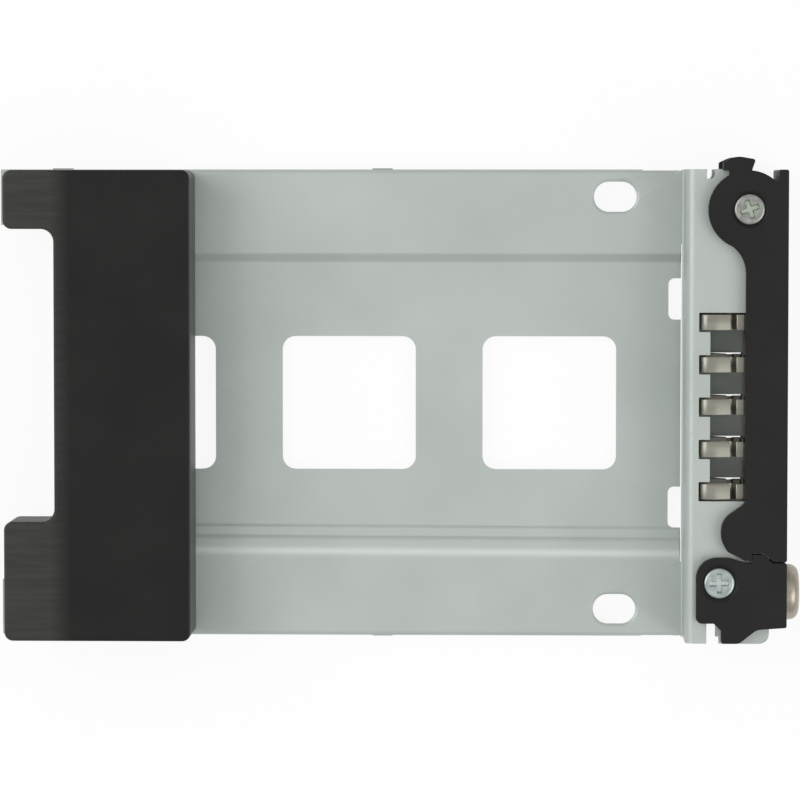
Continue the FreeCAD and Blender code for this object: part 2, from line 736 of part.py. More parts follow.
    nubs = Drawing(body, "side_nubs", "XY", -d.sheet_gauge - d.bend_inner)
    for number in (0, 1):
        start = tray_back + d.nub_rear + number * d.nub_pitch - d.nub_length / 2
        for near, far in ((half_width - t / 2, half_width), (-half_width, t / 2 - half_width)):
            low = near if near.value > 0 else near - d.nub_proud
            high = far + d.nub_proud if near.value > 0 else far
            nubs.rectangle(start, low, start + d.nub_length, high)
    pad(body, nubs, d.runner_drop - d.sheet_gauge - d.bend_inner, True)

    cut_vents(body, "wall_vents", wall_front, t, d.wall_vent_low, d.wall_vent_height, -5, 11)
    rivet_holes = Drawing(body, "rivet_holes", "YZ", wall_front)
    for side in (1, -1):
        rivet_holes.circle(side * rivet_side, d.rivet_rise, d.rivet_radius + d.snug_gap)
    pocket(body, rivet_holes, t)
    cut_flange_shape(body, d.box_height, t, bridged=False)
    return body


# ---------------------------------------------------------------- lower front flange
def make_base_bracket():
    """The lower front flange: an L folded from the same sheet, riveted to the wall's face."""
    body = new_body("base_bracket")
    t = d.sheet_gauge
    section = Drawing(body, "bracket_section", "XZ", -half_width)
    leg_face = wall_front + t
    section.outline([
            (wall_front, -t, bend_outer),
            (lip, -t),
            (lip, 0),
            (leg_face, 0, d.bend_inner),
            (leg_face, d.bracket_leg),
            (wall_front, d.bracket_leg),
        ],
    )
    pad(body, section, d.tray_width)
    rivet_holes = Drawing(body, "rivet_holes", "YZ", leg_face)
    for side in (1, -1):
        rivet_holes.circle(side * rivet_side, d.rivet_rise, d.rivet_radius + d.snug_gap)
    pocket(body, rivet_holes, t)
    # The cut reaches into the fold so that the rolled fingers clear it.
    cut_flange_shape(body, floor_under, t + d.bend_inner, bridged=True)
    return body


def make_rivet(label, side):
    """A round head rivet, set flush behind the wall."""
    body = new_body(label)
    y, z = side * rivet_side, d.rivet_rise
    shank = Drawing(body, "shank", "YZ", wall_rear)
    shank.circle(y, z, d.rivet_radius)
    pad(body, shank, 2 * d.sheet_gauge)
    head = Drawing(body, "head", "YZ", wall_front + d.sheet_gauge)
    head.circle(y, z, d.rivet_head_radius)
    pad(body, head, d.rivet_head_height)
    return body


# ---------------------------------------------------------------- contact strips
def make_contact_strip(label, upside_down):
    """Spring strip of five rolled fingers that touch the next bay's metal."""
    body = new_body(label)
    g = d.strip_gauge
    band_level = d.box_height - g / 2
    run_level = flange_top + d.finger_proud - g / 2 - 2 * d.finger_roll
    top_level = run_level + 2 * d.finger_roll
    band = Drawing(body, "band", "XY", d.box_height - g)
    band_half = 2 * d.finger_pitch + d.finger_width
    band_back = wall_rear + d.strip_window_front
    band.rectangle(band_back, -band_half, wall_rear + d.strip_front, band_half, g)
    pad(body, band, g)

    back = wall_rear + d.finger_back + g / 2
    for number in FINGERS:
        across = number * d.finger_pitch
        path = Drawing(body, f"finger_path_{number + 2}", "XZ", -across)
        path.outline([
                (band_back + g, band_level),
                (wall_rear + d.tab_back + g, band_level, g),
                (wall_rear + d.tab_back, run_level, g),
                (back, run_level, d.finger_roll * 0.98),
                (back, top_level, d.finger_roll * 0.98),
                ((back + wall_rear + d.finger_free) / 2, top_level, 4 * d.finger_roll),
                (wall_rear + d.finger_free, top_level - g - g),
            ],
            closed=False,
        )
        face = Drawing(body, f"finger_face_{number + 2}", "YZ", band_back + g)
        face.rectangle(across - d.finger_width / 2,
            band_level - g / 2,
            across + d.finger_width / 2,
            band_level + g / 2,
        )
        pipe = body.newObject("PartDesign::AdditivePipe", f"finger_{number + 2}")
        pipe.Profile = face.done()
        pipe.Spine = path.done()
        pipe.Transition = "Right corner"
    if upside_down:
        turned = FreeCAD.Rotation(V(1, 0, 0), 180)
        body.Placement = FreeCAD.Placement(V(0, 0, d.box_height.value), turned)
        body.setExpression("Placement.Base.z", d.box_height.formula)
    return body


# ---------------------------------------------------------------- rear block
def block_outline(inset):
    """Corners of the block's plan, drawn in by inset."""
    rear = tray_back + d.block_inset
    ahead = rear + d.block_length
    side = half_width - d.block_side_gap
    notch_floor = rear + d.block_notch_depth
    notch_left = d.block_notch_offset + d.block_notch_width / 2
    notch_right = d.block_notch_offset - d.block_notch_width / 2
    outer = d.block_corner
    return [
        (ahead - inset, inset - side, outer),
        (ahead - inset, side - inset, outer),
        (rear + inset, side - inset, outer),
        (rear + inset, notch_left + inset, outer),
        (notch_floor + inset, notch_left + inset, d.block_notch_corner),
        (notch_floor + inset, notch_right - inset, d.block_notch_corner),
        (rear + inset, notch_right - inset, outer),
        (rear + inset, inset - side, outer),
    ]


def make_rear_block():
    """Black moulded shell, open below, with ribs and a screw boss at each side."""
    body = new_body("rear_block")
    plan = Drawing(body, "plan", "XY", 0)
    plan.outline(block_outline(size(0)))
    pad(body, plan, d.block_height)
    dress(body, "Fillet", d.block_edge, lambda edge: lies_at(edge, d.block_height))

    hollow = Drawing(body, "hollow", "XY", 0)
    hollow.outline(block_outline(d.block_wall))
    pocket(body, hollow, d.block_height - d.block_wall, True)

    rear = tray_back + d.block_inset
    inside = d.block_height - d.block_wall / 2
    ribs = Drawing(body, "ribs", "XY", d.block_wall / 2)
    rib_from = rear + d.block_notch_depth + d.block_wall / 2
    rib_to = rear + d.block_length - d.block_wall / 2
    for across in (screw_side * 0.62, -screw_side * 0.62):
        low = across - d.block_rib / 2
        ribs.rectangle(rib_from, low, rib_to, low + d.block_rib)
    pad(body, ribs, inside - d.block_wall / 2)

    bosses = Drawing(body, "bosses", "XY", 0)
    for side in (1, -1):
        bosses.circle(rear_screws, side * screw_side, d.boss_radius)
    pad(body, bosses, inside)
    bores = Drawing(body, "bores", "XY", 0)
    for side in (1, -1):
        bores.circle(rear_screws, side * screw_side, d.boss_bore)
    pocket(body, bores, d.boss_bore_depth, True)
    return body


# ---------------------------------------------------------------- screws
def make_screw(label, x, y, seat, head_radius, head_height, shank_radius, shank_length, upward):
    """A pan head screw with a cross recess, head above its seat, or below when not upward."""
    body = new_body(label)
    sign = 1 if upward else -1
    head = Drawing(body, "head", "XY", seat)
    head.circle(x, y, head_radius)
    pad(body, head, head_height, not upward)
    crown = seat + sign * head_height
    dress(body, "Fillet", head_height * 0.45, lambda edge: lies_at(edge, crown))
    shank = Drawing(body, "shank", "XY", seat)
    shank.circle(x, y, shank_radius)
    pad(body, shank, shank_length, upward)
    recess = Drawing(body, "recess", "XY", crown)
    arm, half = d.recess_reach, d.recess_width / 2
    recess.outline([
            (x + arm, y - half),
            (x + arm, y + half),
            (x + half, y + half),
            (x + half, y + arm),
            (x - half, y + arm),
            (x - half, y + half),
            (x - arm, y + half),
            (x - arm, y - half),
            (x - half, y - half),
            (x - half, y - arm),
            (x + half, y - arm),
            (x + half, y - half),
        ],
    )
    pocket(body, recess, d.recess_depth, not upward)
    return body


def make_bush(label, x, y):
    """Turned pivot bush: a spacer between the flanges with a journal at each end."""
    body = new_body(label)
    journal = Drawing(body, "journal", "XY", bush_bottom)
    journal.circle(x, y, d.journal_radius)
    pad(body, journal, bush_top - bush_bottom)
    spacer = Drawing(body, "spacer", "XY", 0)
    spacer.circle(x, y, d.spacer_radius)
    pad(body, spacer, d.box_height)
    bore = Drawing(body, "bore", "XY", bush_top)
    bore.circle(x, y, d.pivot_screw_radius + d.thread_gap)
    pocket(body, bore, bush_top - bush_bottom)
    return body


# ---------------------------------------------------------------- lever and latch
def cut_ear_seats(body, x, y):
    """Running bores and counterbores in both ears of a lever."""
    bores = Drawing(body, "bores", "XY", ear_top)
    bores.circle(x, y, d.journal_radius + d.journal_gap)
    pocket(body, bores, ear_span)
    upper = Drawing(body, "upper_counterbore", "XY", ear_top_low + d.counterbore_floor)
    upper.circle(x, y, d.counterbore_radius)
    pocket(body, upper, ear_top - ear_top_low - d.counterbore_floor, True)
    lower = Drawing(body, "lower_counterbore", "XY", ear_bottom_high - d.counterbore_floor)
    lower.circle(x, y, d.counterbore_radius)
    pocket(body, lower, d.ear_gauge - d.counterbore_floor)


def make_lever():
    """Black moulded lever of C section: two ears that clasp the flanges, joined by its front."""
    body = new_body("lever")
    nib_x = latch_x + d.nib_back
    nib_top = latch_y + d.nib_rise + d.nib_gap
    lever_end = latch_y + d.latch_front_high + d.nib_gap
    ramp_x = nib_x + d.nib_width
    arm_edge = lever_x - d.arm_back
    head_x = lever_x - d.head_shift
    # The arm leaves the round head on a tangent and turns into its straight rear edge.
    lean = size(239.2)
    leaves_x = head_x + d.lever_head * cosine(lean)
    leaves_y = lever_y + d.lever_head * sine(lean)
    turn_y = leaves_y - (arm_edge - leaves_x) * cosine(lean) / sine(lean)
    lobe_x = lever_x - d.lobe_back

    arm = Drawing(body, "arm", "XY", ear_bottom)
    arm.outline([
            (front, lever_end, d.edge_round),
            (front, lever_y + d.fin_rise, d.edge_round),
            (panel_in, lever_y + d.fin_rise, d.edge_round),
            (panel_in, lever_y + d.fin_root, d.edge_round),
            (head_x, lever_y + d.fin_root),
            (leaves_x, leaves_y),
            (arm_edge, turn_y, d.neck_corner),
            (arm_edge, lever_end + d.lobe_length, d.lobe_root_round),
            (lobe_x, lever_end + d.lobe_crest, d.lobe_round),
            (lobe_x, lever_end + d.lobe_belly, d.lobe_round),
            (lobe_x + d.lobe_toe_inset, lever_end + d.lobe_toe_rise, d.lobe_toe_round),
            (nib_x - d.nib_gap - d.nib_shoulder, lever_end + d.nib_gap, d.edge_round),
            (nib_x - d.nib_gap, lever_end + d.nib_gap),
            (nib_x - d.nib_gap, nib_top, d.nib_gap),
            (ramp_x + d.nib_gap / 2, nib_top, d.nib_gap),
            (ramp_x + d.nib_ramp + d.nib_gap / 2, lever_end, d.nib_gap),
        ],
    )
    pad(body, arm, ear_span)
    head = Drawing(body, "round_head", "XY", ear_bottom)
    head.circle(head_x, lever_y - d.head_shift / 2, d.lever_head)
    pad(body, head, ear_span)
    hook = Drawing(body, "hook", "XY", ear_bottom)
    top = lever_y + d.hook_rise
    root = lever_y + d.lever_head / 2
    hook.outline([
            (lever_x + d.hook_tip, root),
            (lever_x + d.hook_neck_front, top - d.hook_height, d.hook_throat_round),
            (lever_x + d.hook_tip, top - d.hook_nose_drop, d.edge_round),
            (lever_x - d.hook_back / 2, top, d.hook_crown_round),
            (lever_x - d.hook_back, top - d.hook_shoulder_drop, d.edge_round),
            (lever_x - d.hook_back, top - d.hook_height),
            (lever_x - d.hook_neck_back, top - d.hook_height),
            (lever_x - d.hook_neck_back, root),
        ],
    )
    pad(body, hook, ear_span)

    between = Drawing(body, "between_ears", "XY", ear_top_low)
    between.rectangle(lever_x - 2 * d.lever_head,
        lever_end - d.lobe_length,
        panel_in,
        lever_y + 2 * d.lever_head,
    )
    pocket(body, between, ear_top_low - ear_bottom_high)
    vent_low = mid_height - d.lever_vent_height / 2
    cut_vents(body, "front_vents", front, d.panel_wall, vent_low, d.lever_vent_height, -4, 10)
    cut_ear_seats(body, lever_x, lever_y)
    return body


def make_latch():
    """Black moulded latch of C section with the nib that holds the lever shut."""
    body = new_body("latch")
    nib_x = latch_x + d.nib_back
    ramp_x = nib_x + d.nib_width
    high = latch_y + d.latch_front_high
    low = latch_y - d.latch_front_low
    foot = latch_y - d.latch_foot
    hook_tip = d.latch_hook_inset - half_width
    plan = Drawing(body, "plan", "XY", ear_bottom)
    plan.outline([
            (front, low, d.edge_round),
            (front, high, d.edge_round),
            (ramp_x + d.nib_ramp, high),
            (ramp_x, latch_y + d.nib_rise, d.edge_round),
            (nib_x, latch_y + d.nib_rise, d.edge_round / 2),
            (nib_x, high, d.edge_round / 2),
            (nib_x - d.latch_saddle, high, d.latch_saddle_round),
            (latch_x + d.latch_brow_reach, latch_y + d.latch_crown, d.latch_brow_round),
            (latch_x - d.latch_back, latch_y + d.latch_crown, d.latch_back * 0.9),
            (latch_x - d.latch_back, foot, d.latch_heel_round),
            (latch_x - d.latch_heel_reach, foot, d.edge_round),
            (latch_x + d.latch_hook_back, foot - d.latch_heel_drop, d.edge_round),
            (latch_x + d.latch_hook_back, hook_tip, d.edge_round),
            (latch_x + d.latch_hook_reach, hook_tip, d.latch_hook_round),
            (latch_x + d.latch_chin_reach, low - d.latch_chin_drop, d.latch_chin_round),
        ],
    )
    pad(body, plan, ear_span)
    between = Drawing(body, "between_ears", "XY", ear_top_low)
    between.rectangle(latch_x - 2 * d.latch_back,
        hook_tip - d.latch_wall,
        front - d.latch_wall,
        latch_y + 2 * d.nib_rise,
    )
    pocket(body, between, ear_top_low - ear_bottom_high)
    hole = Drawing(body, "button_hole", "YZ", front)
    hole.circle(button_y, mid_height, d.button_radius + d.button_gap)
    pocket(body, hole, d.latch_wall)
    cut_ear_seats(body, latch_x, latch_y)
    return body


# ---------------------------------------------------------------- release button and peg
def make_release_button():
    """Nickel plated push button: its inner plate keeps it in the latch, its wedge rides the peg."""
    body = new_body("release_button")
    plate_front = front - d.latch_wall - d.thread_gap
    cap = Drawing(body, "cap", "YZ", plate_front)
    cap.circle(button_y, mid_height, d.button_radius)
    pad(body, cap, front + d.button_proud - plate_front)
    face = front + d.button_proud
    dress(
        body,
        "Fillet",
        d.button_round,
        lambda edge: abs(edge.BoundBox.XMin - face.value) < 1e-4,
    )
    plate = Drawing(body, "plate", "YZ", plate_front - d.button_plate)
    plate.rectangle(button_y - d.button_plate_half,
        mid_height - d.button_plate_height / 2,
        button_y + d.button_plate_half,
        mid_height + d.button_plate_height / 2,
        1.0,
    )
    pad(body, plate, d.button_plate)

    # The wedge face keeps wedge_gap from the peg and leans by wedge_angle.
    lean = d.wedge_angle
    reach = d.peg_radius + d.wedge_gap
    touch_x = peg_x + reach * sine(lean)
    touch_y = button_y - reach * cosine(lean)
    slope = sine(lean) / cosine(lean)
    root_x = plate_front - d.button_plate / 2
    root_y = touch_y + (root_x - touch_x) * slope
    tip_y = root_y - d.nose_width
    tip_x = touch_x - (touch_y - tip_y) / slope + 0.8
    nose = Drawing(body, "nose", "XY", mid_height - d.nose_height / 2)
    nose.outline([
            (root_x, tip_y),
            (root_x, root_y),
            (tip_x, touch_y + (tip_x - touch_x) * slope, 0.2),
            (tip_x, tip_y),
        ],
    )
    pad(body, nose, d.nose_height)
    return body


def make_release_peg():
    """Steel peg pressed through both flanges, against which the button's wedge works."""
    body = new_body("release_peg")
    peg = Drawing(body, "peg", "XY", floor_under)
    peg.circle(peg_x, button_y, d.peg_radius)
    pad(body, peg, flange_top - floor_under)
    return body


# ---------------------------------------------------------------- torsion springs
def make_torsion_spring(label, x, y, base, hand, fixed_end, moving_end):
    """Close wound wire round a bush, whose legs leave the coil on tangents and end at given X.

    Each half turn is half a circle, tilted about X so that it climbs half a pitch and meets the
    next one without a kink. The coil winds anticlockwise, seen from above, where hand is 1.
    """
    x, y, base = x.value, y.value, base.value
    wire = sheet.get("spring_wire") / 2
    radius = sheet.get("spacer_radius") + sheet.get("spring_gap") + wire
    climb = sheet.get("spring_pitch") / 2
    bulge = math.hypot(radius, climb / 2)
    near, far = y - hand * radius, y + hand * radius
    first = V(fixed_end.value, near, base)
    path = [Part.LineSegment(first, V(x, near, base))]
    for number in range(round(sheet.get("spring_turns"))):
        low = base + 2 * number * climb
        middle, high = low + climb, low + 2 * climb
        for ends, side in (((near, low, far, middle), 1), ((far, middle, near, high), -1)):
            start, end = V(x, ends[0], ends[1]), V(x, ends[2], ends[3])
            path.append(Part.Arc(start, V(x + side * bulge, y, (ends[1] + ends[3]) / 2), end))
    lean = math.radians(sheet.get("spring_leg_lean"))
    bent = [V(x + radius * math.sin(a), y - hand * radius * math.cos(a), high) for a in (lean / 2, lean)]
    path.append(Part.Arc(V(x, near, high), *bent))
    reach = moving_end.value - bent[1].x
    last = bent[1] + V(reach, hand * reach * math.tan(lean), 0)
    path.append(Part.LineSegment(bent[1], last))
    section = Part.Wire(Part.makeCircle(wire, first, V(1, 0, 0)))
    spring = doc.addObject("Part::Feature", label)
    spring.Shape = Part.Wire([piece.toShape() for piece in path]).makePipeShell([section], True, False)
    spring.Label = label
    return spring


# ---------------------------------------------------------------- assembly
nodes = [make_drive_tray(), make_base_bracket()]
for name, side in (("bracket_rivet_left", 1), ("bracket_rivet_right", -1)):
    nodes.append(make_rivet(name, side))
nodes.append(make_contact_strip("contact_strip_top", False))
nodes.append(make_contact_strip("contact_strip_bottom", True))
nodes.append(make_rear_block())
for name, side in (("block_screw_left", 1), ("block_screw_right", -1)):
    nodes.append(
        make_screw(
            name,
            rear_screws,
            side * screw_side,
            floor_under,
            d.block_screw_head,
            d.block_screw_height,
            d.boss_bore - d.thread_gap,
            d.block_screw_length,
            False,
        )
    )
nodes += [make_lever(), make_latch()]
for piece, pivot_x, pivot_y in (("lever", lever_x, lever_y), ("latch", latch_x, latch_y)):
    nodes.append(make_bush(piece + "_bush", pivot_x, pivot_y))
    for end, seat, upward in (("top", bush_top, True), ("bottom", bush_bottom, False)):
        nodes.append(
            make_screw(
                f"{piece}_screw_{end}",
                pivot_x,
                pivot_y,
                seat,
                d.pivot_screw_head,
                d.pivot_screw_height,
                d.pivot_screw_radius,
                d.pivot_screw_length,
                upward,
            )
        )
nodes += [make_release_button(), make_release_peg()]

leg_side = d.spring_wire / 2 + d.leg_gap
plate_back = front - d.latch_wall - d.thread_gap - d.button_plate
lever_coil = mid_height - d.spring_wire
latch_coil = d.box_height - d.spring_turns * d.spring_pitch - 2 * d.spring_wire
for piece, pivot_x, pivot_y, base, hand, bears_on in (
    ("lever", lever_x, lever_y, lever_coil, 1, panel_in),
    ("latch", latch_x, latch_y, latch_coil, -1, plate_back),
):
    ends = (wall_front + leg_side, bears_on - leg_side)
    nodes.append(make_torsion_spring(piece + "_spring", pivot_x, pivot_y, base, hand, *ends))

# ---------------------------------------------------------------- check and write
doc.recompute()
for item in doc.Objects:
    bad = [state for state in item.State if state in ("Invalid", "Error")]
    if bad:
        raise RuntimeError(f"{item.Label} ({item.Name}) is {bad}")

os.makedirs("parts", exist_ok=True)
for node in nodes:
    shape = node.Shape
    if shape.isNull() or not shape.isValid() or len(shape.Solids) != 1:
        raise RuntimeError(f"{node.Label} has no single valid solid")
    shape.exportStep(os.path.join("parts", node.Label + ".step"))
    box = shape.BoundBox
    print(
        f"{node.Label:22s} {shape.Volume:9.2f} mm3  x {box.XMin:8.3f} {box.XMax:8.3f}"
        f"  y {box.YMin:8.3f} {box.YMax:8.3f}  z {box.ZMin:7.3f} {box.ZMax:7.3f}"
    )
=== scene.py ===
import math

import bmesh
import bpy
import numpy as np
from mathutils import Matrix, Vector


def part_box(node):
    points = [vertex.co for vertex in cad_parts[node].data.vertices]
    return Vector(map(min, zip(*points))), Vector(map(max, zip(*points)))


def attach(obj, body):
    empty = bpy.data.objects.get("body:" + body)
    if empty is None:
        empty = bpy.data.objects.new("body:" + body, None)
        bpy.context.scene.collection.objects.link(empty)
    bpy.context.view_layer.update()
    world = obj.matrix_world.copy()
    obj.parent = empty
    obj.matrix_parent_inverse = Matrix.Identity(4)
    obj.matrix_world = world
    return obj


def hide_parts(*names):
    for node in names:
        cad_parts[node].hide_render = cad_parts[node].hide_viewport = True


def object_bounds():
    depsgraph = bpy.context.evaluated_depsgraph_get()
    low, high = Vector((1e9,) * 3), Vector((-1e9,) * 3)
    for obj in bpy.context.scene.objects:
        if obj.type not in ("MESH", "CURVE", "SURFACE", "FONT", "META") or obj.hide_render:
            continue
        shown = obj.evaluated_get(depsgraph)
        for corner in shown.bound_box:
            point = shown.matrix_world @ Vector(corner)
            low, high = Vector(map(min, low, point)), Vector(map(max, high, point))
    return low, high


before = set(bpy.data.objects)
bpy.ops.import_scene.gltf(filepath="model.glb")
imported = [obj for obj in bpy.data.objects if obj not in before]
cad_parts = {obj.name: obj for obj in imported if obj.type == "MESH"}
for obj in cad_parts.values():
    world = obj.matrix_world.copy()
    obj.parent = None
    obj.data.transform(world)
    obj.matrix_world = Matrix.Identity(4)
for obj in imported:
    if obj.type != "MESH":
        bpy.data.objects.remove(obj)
cad_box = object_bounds()

# ---------------------------------------------------------------- folded tray and its bracket
# Two pieces of zinc plated steel sheet, pressed and folded cold. The bracket gives the lower
# flange, is riveted to the front of the tray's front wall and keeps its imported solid. The tray
# is a copy of its own, with the joggles of its floor as the press leaves them.

SHEET_COLOUR = (0.475, 0.515, 0.485)
SHEET_SHADE = (0.425, 0.465, 0.435)
# Painted highlight: a paler colour laid along one joggle, where its slope would catch the light.
SHEET_PAINTED_HIGHLIGHT = (0.60, 0.645, 0.605)
SHEET_CLOUDS = 55
SHEET_CRYSTALS = 1400
SHEET_STREAKS = 2600
NOISE_LOW, NOISE_HIGH = 0.3, 0.7
SHARP_FOLD = math.radians(30)


def new_material(name, metallic, roughness, specular=0.5):
    """An empty Principled material: the tree, its shader, and the point that patterns read."""
    material = bpy.data.materials.new(name)
    material.use_nodes = True
    tree = material.node_tree
    shader = tree.nodes["Principled BSDF"]
    shader.inputs["Metallic"].default_value = metallic
    shader.inputs["Roughness"].default_value = roughness
    shader.inputs["Specular IOR Level"].default_value = specular
    place = tree.nodes.new("ShaderNodeTexCoord").outputs["Object"]
    return material, tree, shader, place


def grain(tree, place, scale, detail, stretch=(1, 1, 1)):
    """Noise of so many cells per metre, drawn out along the axes by the stretch."""
    mapping = tree.nodes.new("ShaderNodeMapping")
    mapping.inputs["Scale"].default_value = stretch
    tree.links.new(place, mapping.inputs["Vector"])
    noise = tree.nodes.new("ShaderNodeTexNoise")
    noise.inputs["Scale"].default_value = scale
    noise.inputs["Detail"].default_value = detail
    tree.links.new(mapping.outputs["Vector"], noise.inputs["Vector"])
    return noise.outputs["Fac"]


def ramp(tree, factor, low, high):
    """The usual range of a noise spread over the way from one colour to another."""
    spread = tree.nodes.new("ShaderNodeMapRange")
    spread.data_type = "FLOAT_VECTOR"
    tree.links.new(factor, spread.inputs["Vector"])
    for slot, values in (("From_Min_FLOAT3", (NOISE_LOW,) * 3),
                         ("From_Max_FLOAT3", (NOISE_HIGH,) * 3),
                         ("To_Min_FLOAT3", low), ("To_Max_FLOAT3", high)):
        next(i for i in spread.inputs if i.identifier == slot).default_value = values
    return spread.outputs["Vector"]


def level(tree, factor, low, high, start=NOISE_LOW, end=NOISE_HIGH):
    """The factor between start and end spread over the numbers from low to high."""
    spread = tree.nodes.new("ShaderNodeMapRange")
    for slot, value in (("From Min", start), ("From Max", end),
                        ("To Min", low), ("To Max", high)):
        spread.inputs[slot].default_value = value
    tree.links.new(factor, spread.inputs["Value"])
    return spread.outputs["Result"]


def mix_colour(tree, factor, first, second):
    """Two colours mixed by the factor; the first is a socket, the second is plain."""
    blend = tree.nodes.new("ShaderNodeMix")
    blend.data_type = "RGBA"
    tree.links.new(factor, blend.inputs["Factor"])
    ends = [i for i in blend.inputs if i.type == "RGBA"]
    tree.links.new(first, ends[0])
    ends[1].default_value = second + (1,)
    return next(o for o in blend.outputs if o.type == "RGBA")


def bump(tree, shader, height, depth, below=None):
    """Relief of the given depth in metres, laid over the relief below it."""
    relief = tree.nodes.new("ShaderNodeBump")
    relief.inputs["Distance"].default_value = depth
    tree.links.new(height, relief.inputs["Height"])
    if below:
        tree.links.new(below, relief.inputs["Normal"])
    tree.links.new(relief.outputs["Normal"], shader.inputs["Normal"])
    return relief.outputs["Normal"]


def make_zinc_sheet():
    """Plated sheet: cloudy zinc with a fine crystal mottle, faint streaks of the rolling, and a
    painted highlight along one joggle where the vertices are marked.
    """
    material, tree, shader, place = new_material("zinc_sheet", 0.35, 0.5)
    clouds = grain(tree, place, SHEET_CLOUDS, 3)
    highlight_share = tree.nodes.new("ShaderNodeAttribute")
    highlight_share.attribute_name = "painted_highlight"
    plain = ramp(tree, clouds, SHEET_SHADE, SHEET_COLOUR)
    # The marked vertices get the painted highlight, paler than the plain sheet.
    tree.links.new(mix_colour(tree, highlight_share.outputs["Fac"], plain, SHEET_PAINTED_HIGHLIGHT),
                   shader.inputs["Base Color"])
    mottle = grain(tree, place, SHEET_CRYSTALS, 2)
    tree.links.new(level(tree, mottle, 0.42, 0.56), shader.inputs["Roughness"])
    streaks = grain(tree, place, SHEET_STREAKS, 2, (0.08, 1, 1))
    below = bump(tree, shader, streaks, 0.000004)
    bump(tree, shader, mottle, 0.000006, below)
    return material


def finish_nodes(material, *names):
    """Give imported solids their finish."""
    for name in names:
        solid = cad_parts[name]
        solid.data.materials.clear()
        solid.data.materials.append(material)


def joined_skin(node):
    """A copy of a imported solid, with its loose triangles merged into one closed skin."""
    skin = bmesh.new()
    skin.from_mesh(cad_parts[node].data)
    bmesh.ops.remove_doubles(skin, verts=skin.verts, dist=1e-6)
    return skin


def vertex_places(mesh):
    """Where the vertices are: a row of x, y and z for each."""
    places = np.empty(len(mesh.vertices) * 3)
    mesh.vertices.foreach_get("co", places)
    return places.reshape(-1, 3)


def mark_vertices(mesh, name, values):
    """A number for each vertex, which a material reads by its name."""
    mark = mesh.attributes.new(name, "FLOAT", "POINT")
    mark.data.foreach_set("value", values.astype(np.float32))


def piece_from_skin(name, skin, material, node, body, shape=None):
    """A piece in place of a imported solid: the shape function moves its vertices, where there is
    one, and edges above a fold's angle stay sharp."""
    mesh = bpy.data.meshes.new(name)
    skin.to_mesh(mesh)
    skin.free()
    if shape:
        shape(mesh)
    mesh.shade_smooth()
    mesh.set_sharp_from_angle(angle=SHARP_FOLD)
    mesh.materials.append(material)
    piece = bpy.data.objects.new(name, mesh)
    bpy.context.scene.collection.objects.link(piece)
    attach(piece, body)
    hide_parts(node)
    return piece


def even_normals(piece):
    """Corner normals weighted by the area of the faces that meet there."""
    weighted = piece.modifiers.new("even_normals", "WEIGHTED_NORMAL")
    weighted.keep_sharp = True
    weighted.weight = 60


# Across the tray, the joggles' height above the seat in mm: as packed, and as the press left it.
PACKED_JOGGLE = np.array([(-23, 0), (-20, -0.7), (-18.7, -0.7), (-18.4, -1), (20, -1), (23, 0)])
PRESSED_JOGGLE = np.array([(-23.2, 0), (-21.7, -0.08), (-21.2, -0.15), (-20.7, -0.16),
                           (-20.3, -0.28), (-19.85, -0.64), (-19.0, -0.66), (-18.65, -0.7),
                           (-18.25, -1), (21.1, -1), (22.4, 0)])
# The painted highlight along the joggle on the latch's side, a paler line where that slope would
# catch the light: its place and spread across the tray in mm, and how far that joggle's lines
# drift across for each mm along, counted from the origin.
HIGHLIGHT_LINE = -22.2
HIGHLIGHT_SPREAD = 0.55
JOGGLE_DRIFT = 0.005
DRIFT_ORIGIN = -47
# Each nub's place along and across, its reach along and across, and its rise, in mm.
NUBS = ((-19.8, -19.95, 0.9, 1.8, 0.12), (-28.0, -19.3, 0.3, 0.12, -0.06))
FLOOR_TOP = 0.0005
FLOOR_FRONT = 0.0099
WHOLE_WIDTH = (-0.04, 0.04)
LATCH_BAND = (-0.0236, -0.0176)
LEVER_BAND = (0.0208, 0.0231)
WALL_BACK = 0.01023
WALL_FRONT = 0.01125
SLOTS_HALF_WIDTH = 0.03
SLOTS_LOW = 0.0034
SLOTS_HIGH = 0.0076


def pressed_shift(along, across, drift):
    """How far the floor's skin moves up, from places in mm: the pressed joggle, with its folds
    rounded and its lines drifting a little along the tray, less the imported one, and small nubs,
    each a bell curve."""
    fine = np.linspace(-26, 26, 2081)
    kernel = np.exp(-np.linspace(-2, 2, 9) ** 2)
    soft = np.pad(np.interp(fine, *PRESSED_JOGGLE.T), 4, mode="edge")
    soft = np.convolve(soft, kernel / kernel.sum(), mode="valid")
    drifted = across + drift * (across < 0)
    shift = np.interp(drifted, fine, soft) - np.interp(across, *PACKED_JOGGLE.T)
    for nub_x, nub_y, reach_x, reach_y, rise in NUBS:
        shift += rise * np.exp(-((along - nub_x) / reach_x) ** 2
                               - ((across - nub_y) / reach_y) ** 2)
    return shift


def split_floor(skin):
    """Split the floor's faces along the joggles, and across them where they drift or have nubs."""
    def cut(places, normal, *bands):
        """Cut the floor's faces in these bands of its width by planes at the places in mm."""
        for place in places / 1000:
            faces = [f for f in skin.faces if abs(f.normal.z) > 0.3
                     and all(v.co.z < FLOOR_TOP and v.co.x < FLOOR_FRONT for v in f.verts)
                     and any(low < f.calc_center_median().y < high for low, high in bands)]
            around = {e for f in faces for e in f.edges} | {v for f in faces for v in f.verts}
            bmesh.ops.bisect_plane(skin, geom=faces + list(around), dist=1e-7,
                                   plane_co=[place * n for n in normal], plane_no=normal)
    cut(np.concatenate([np.arange(-23.55, -17.6, 0.15), np.arange(20.85, 23.1, 0.15)]),
        (0, 1, 0), WHOLE_WIDTH)
    cut(np.append(np.arange(-90, 8, 6), [8, 9, 9.5, 9.7]), (1, 0, 0), LATCH_BAND, LEVER_BAND)
    cut(np.concatenate([np.arange(-22, -17.5, 0.3), np.arange(-28.8, -27.1, 0.15)]),
        (1, 0, 0), LATCH_BAND)


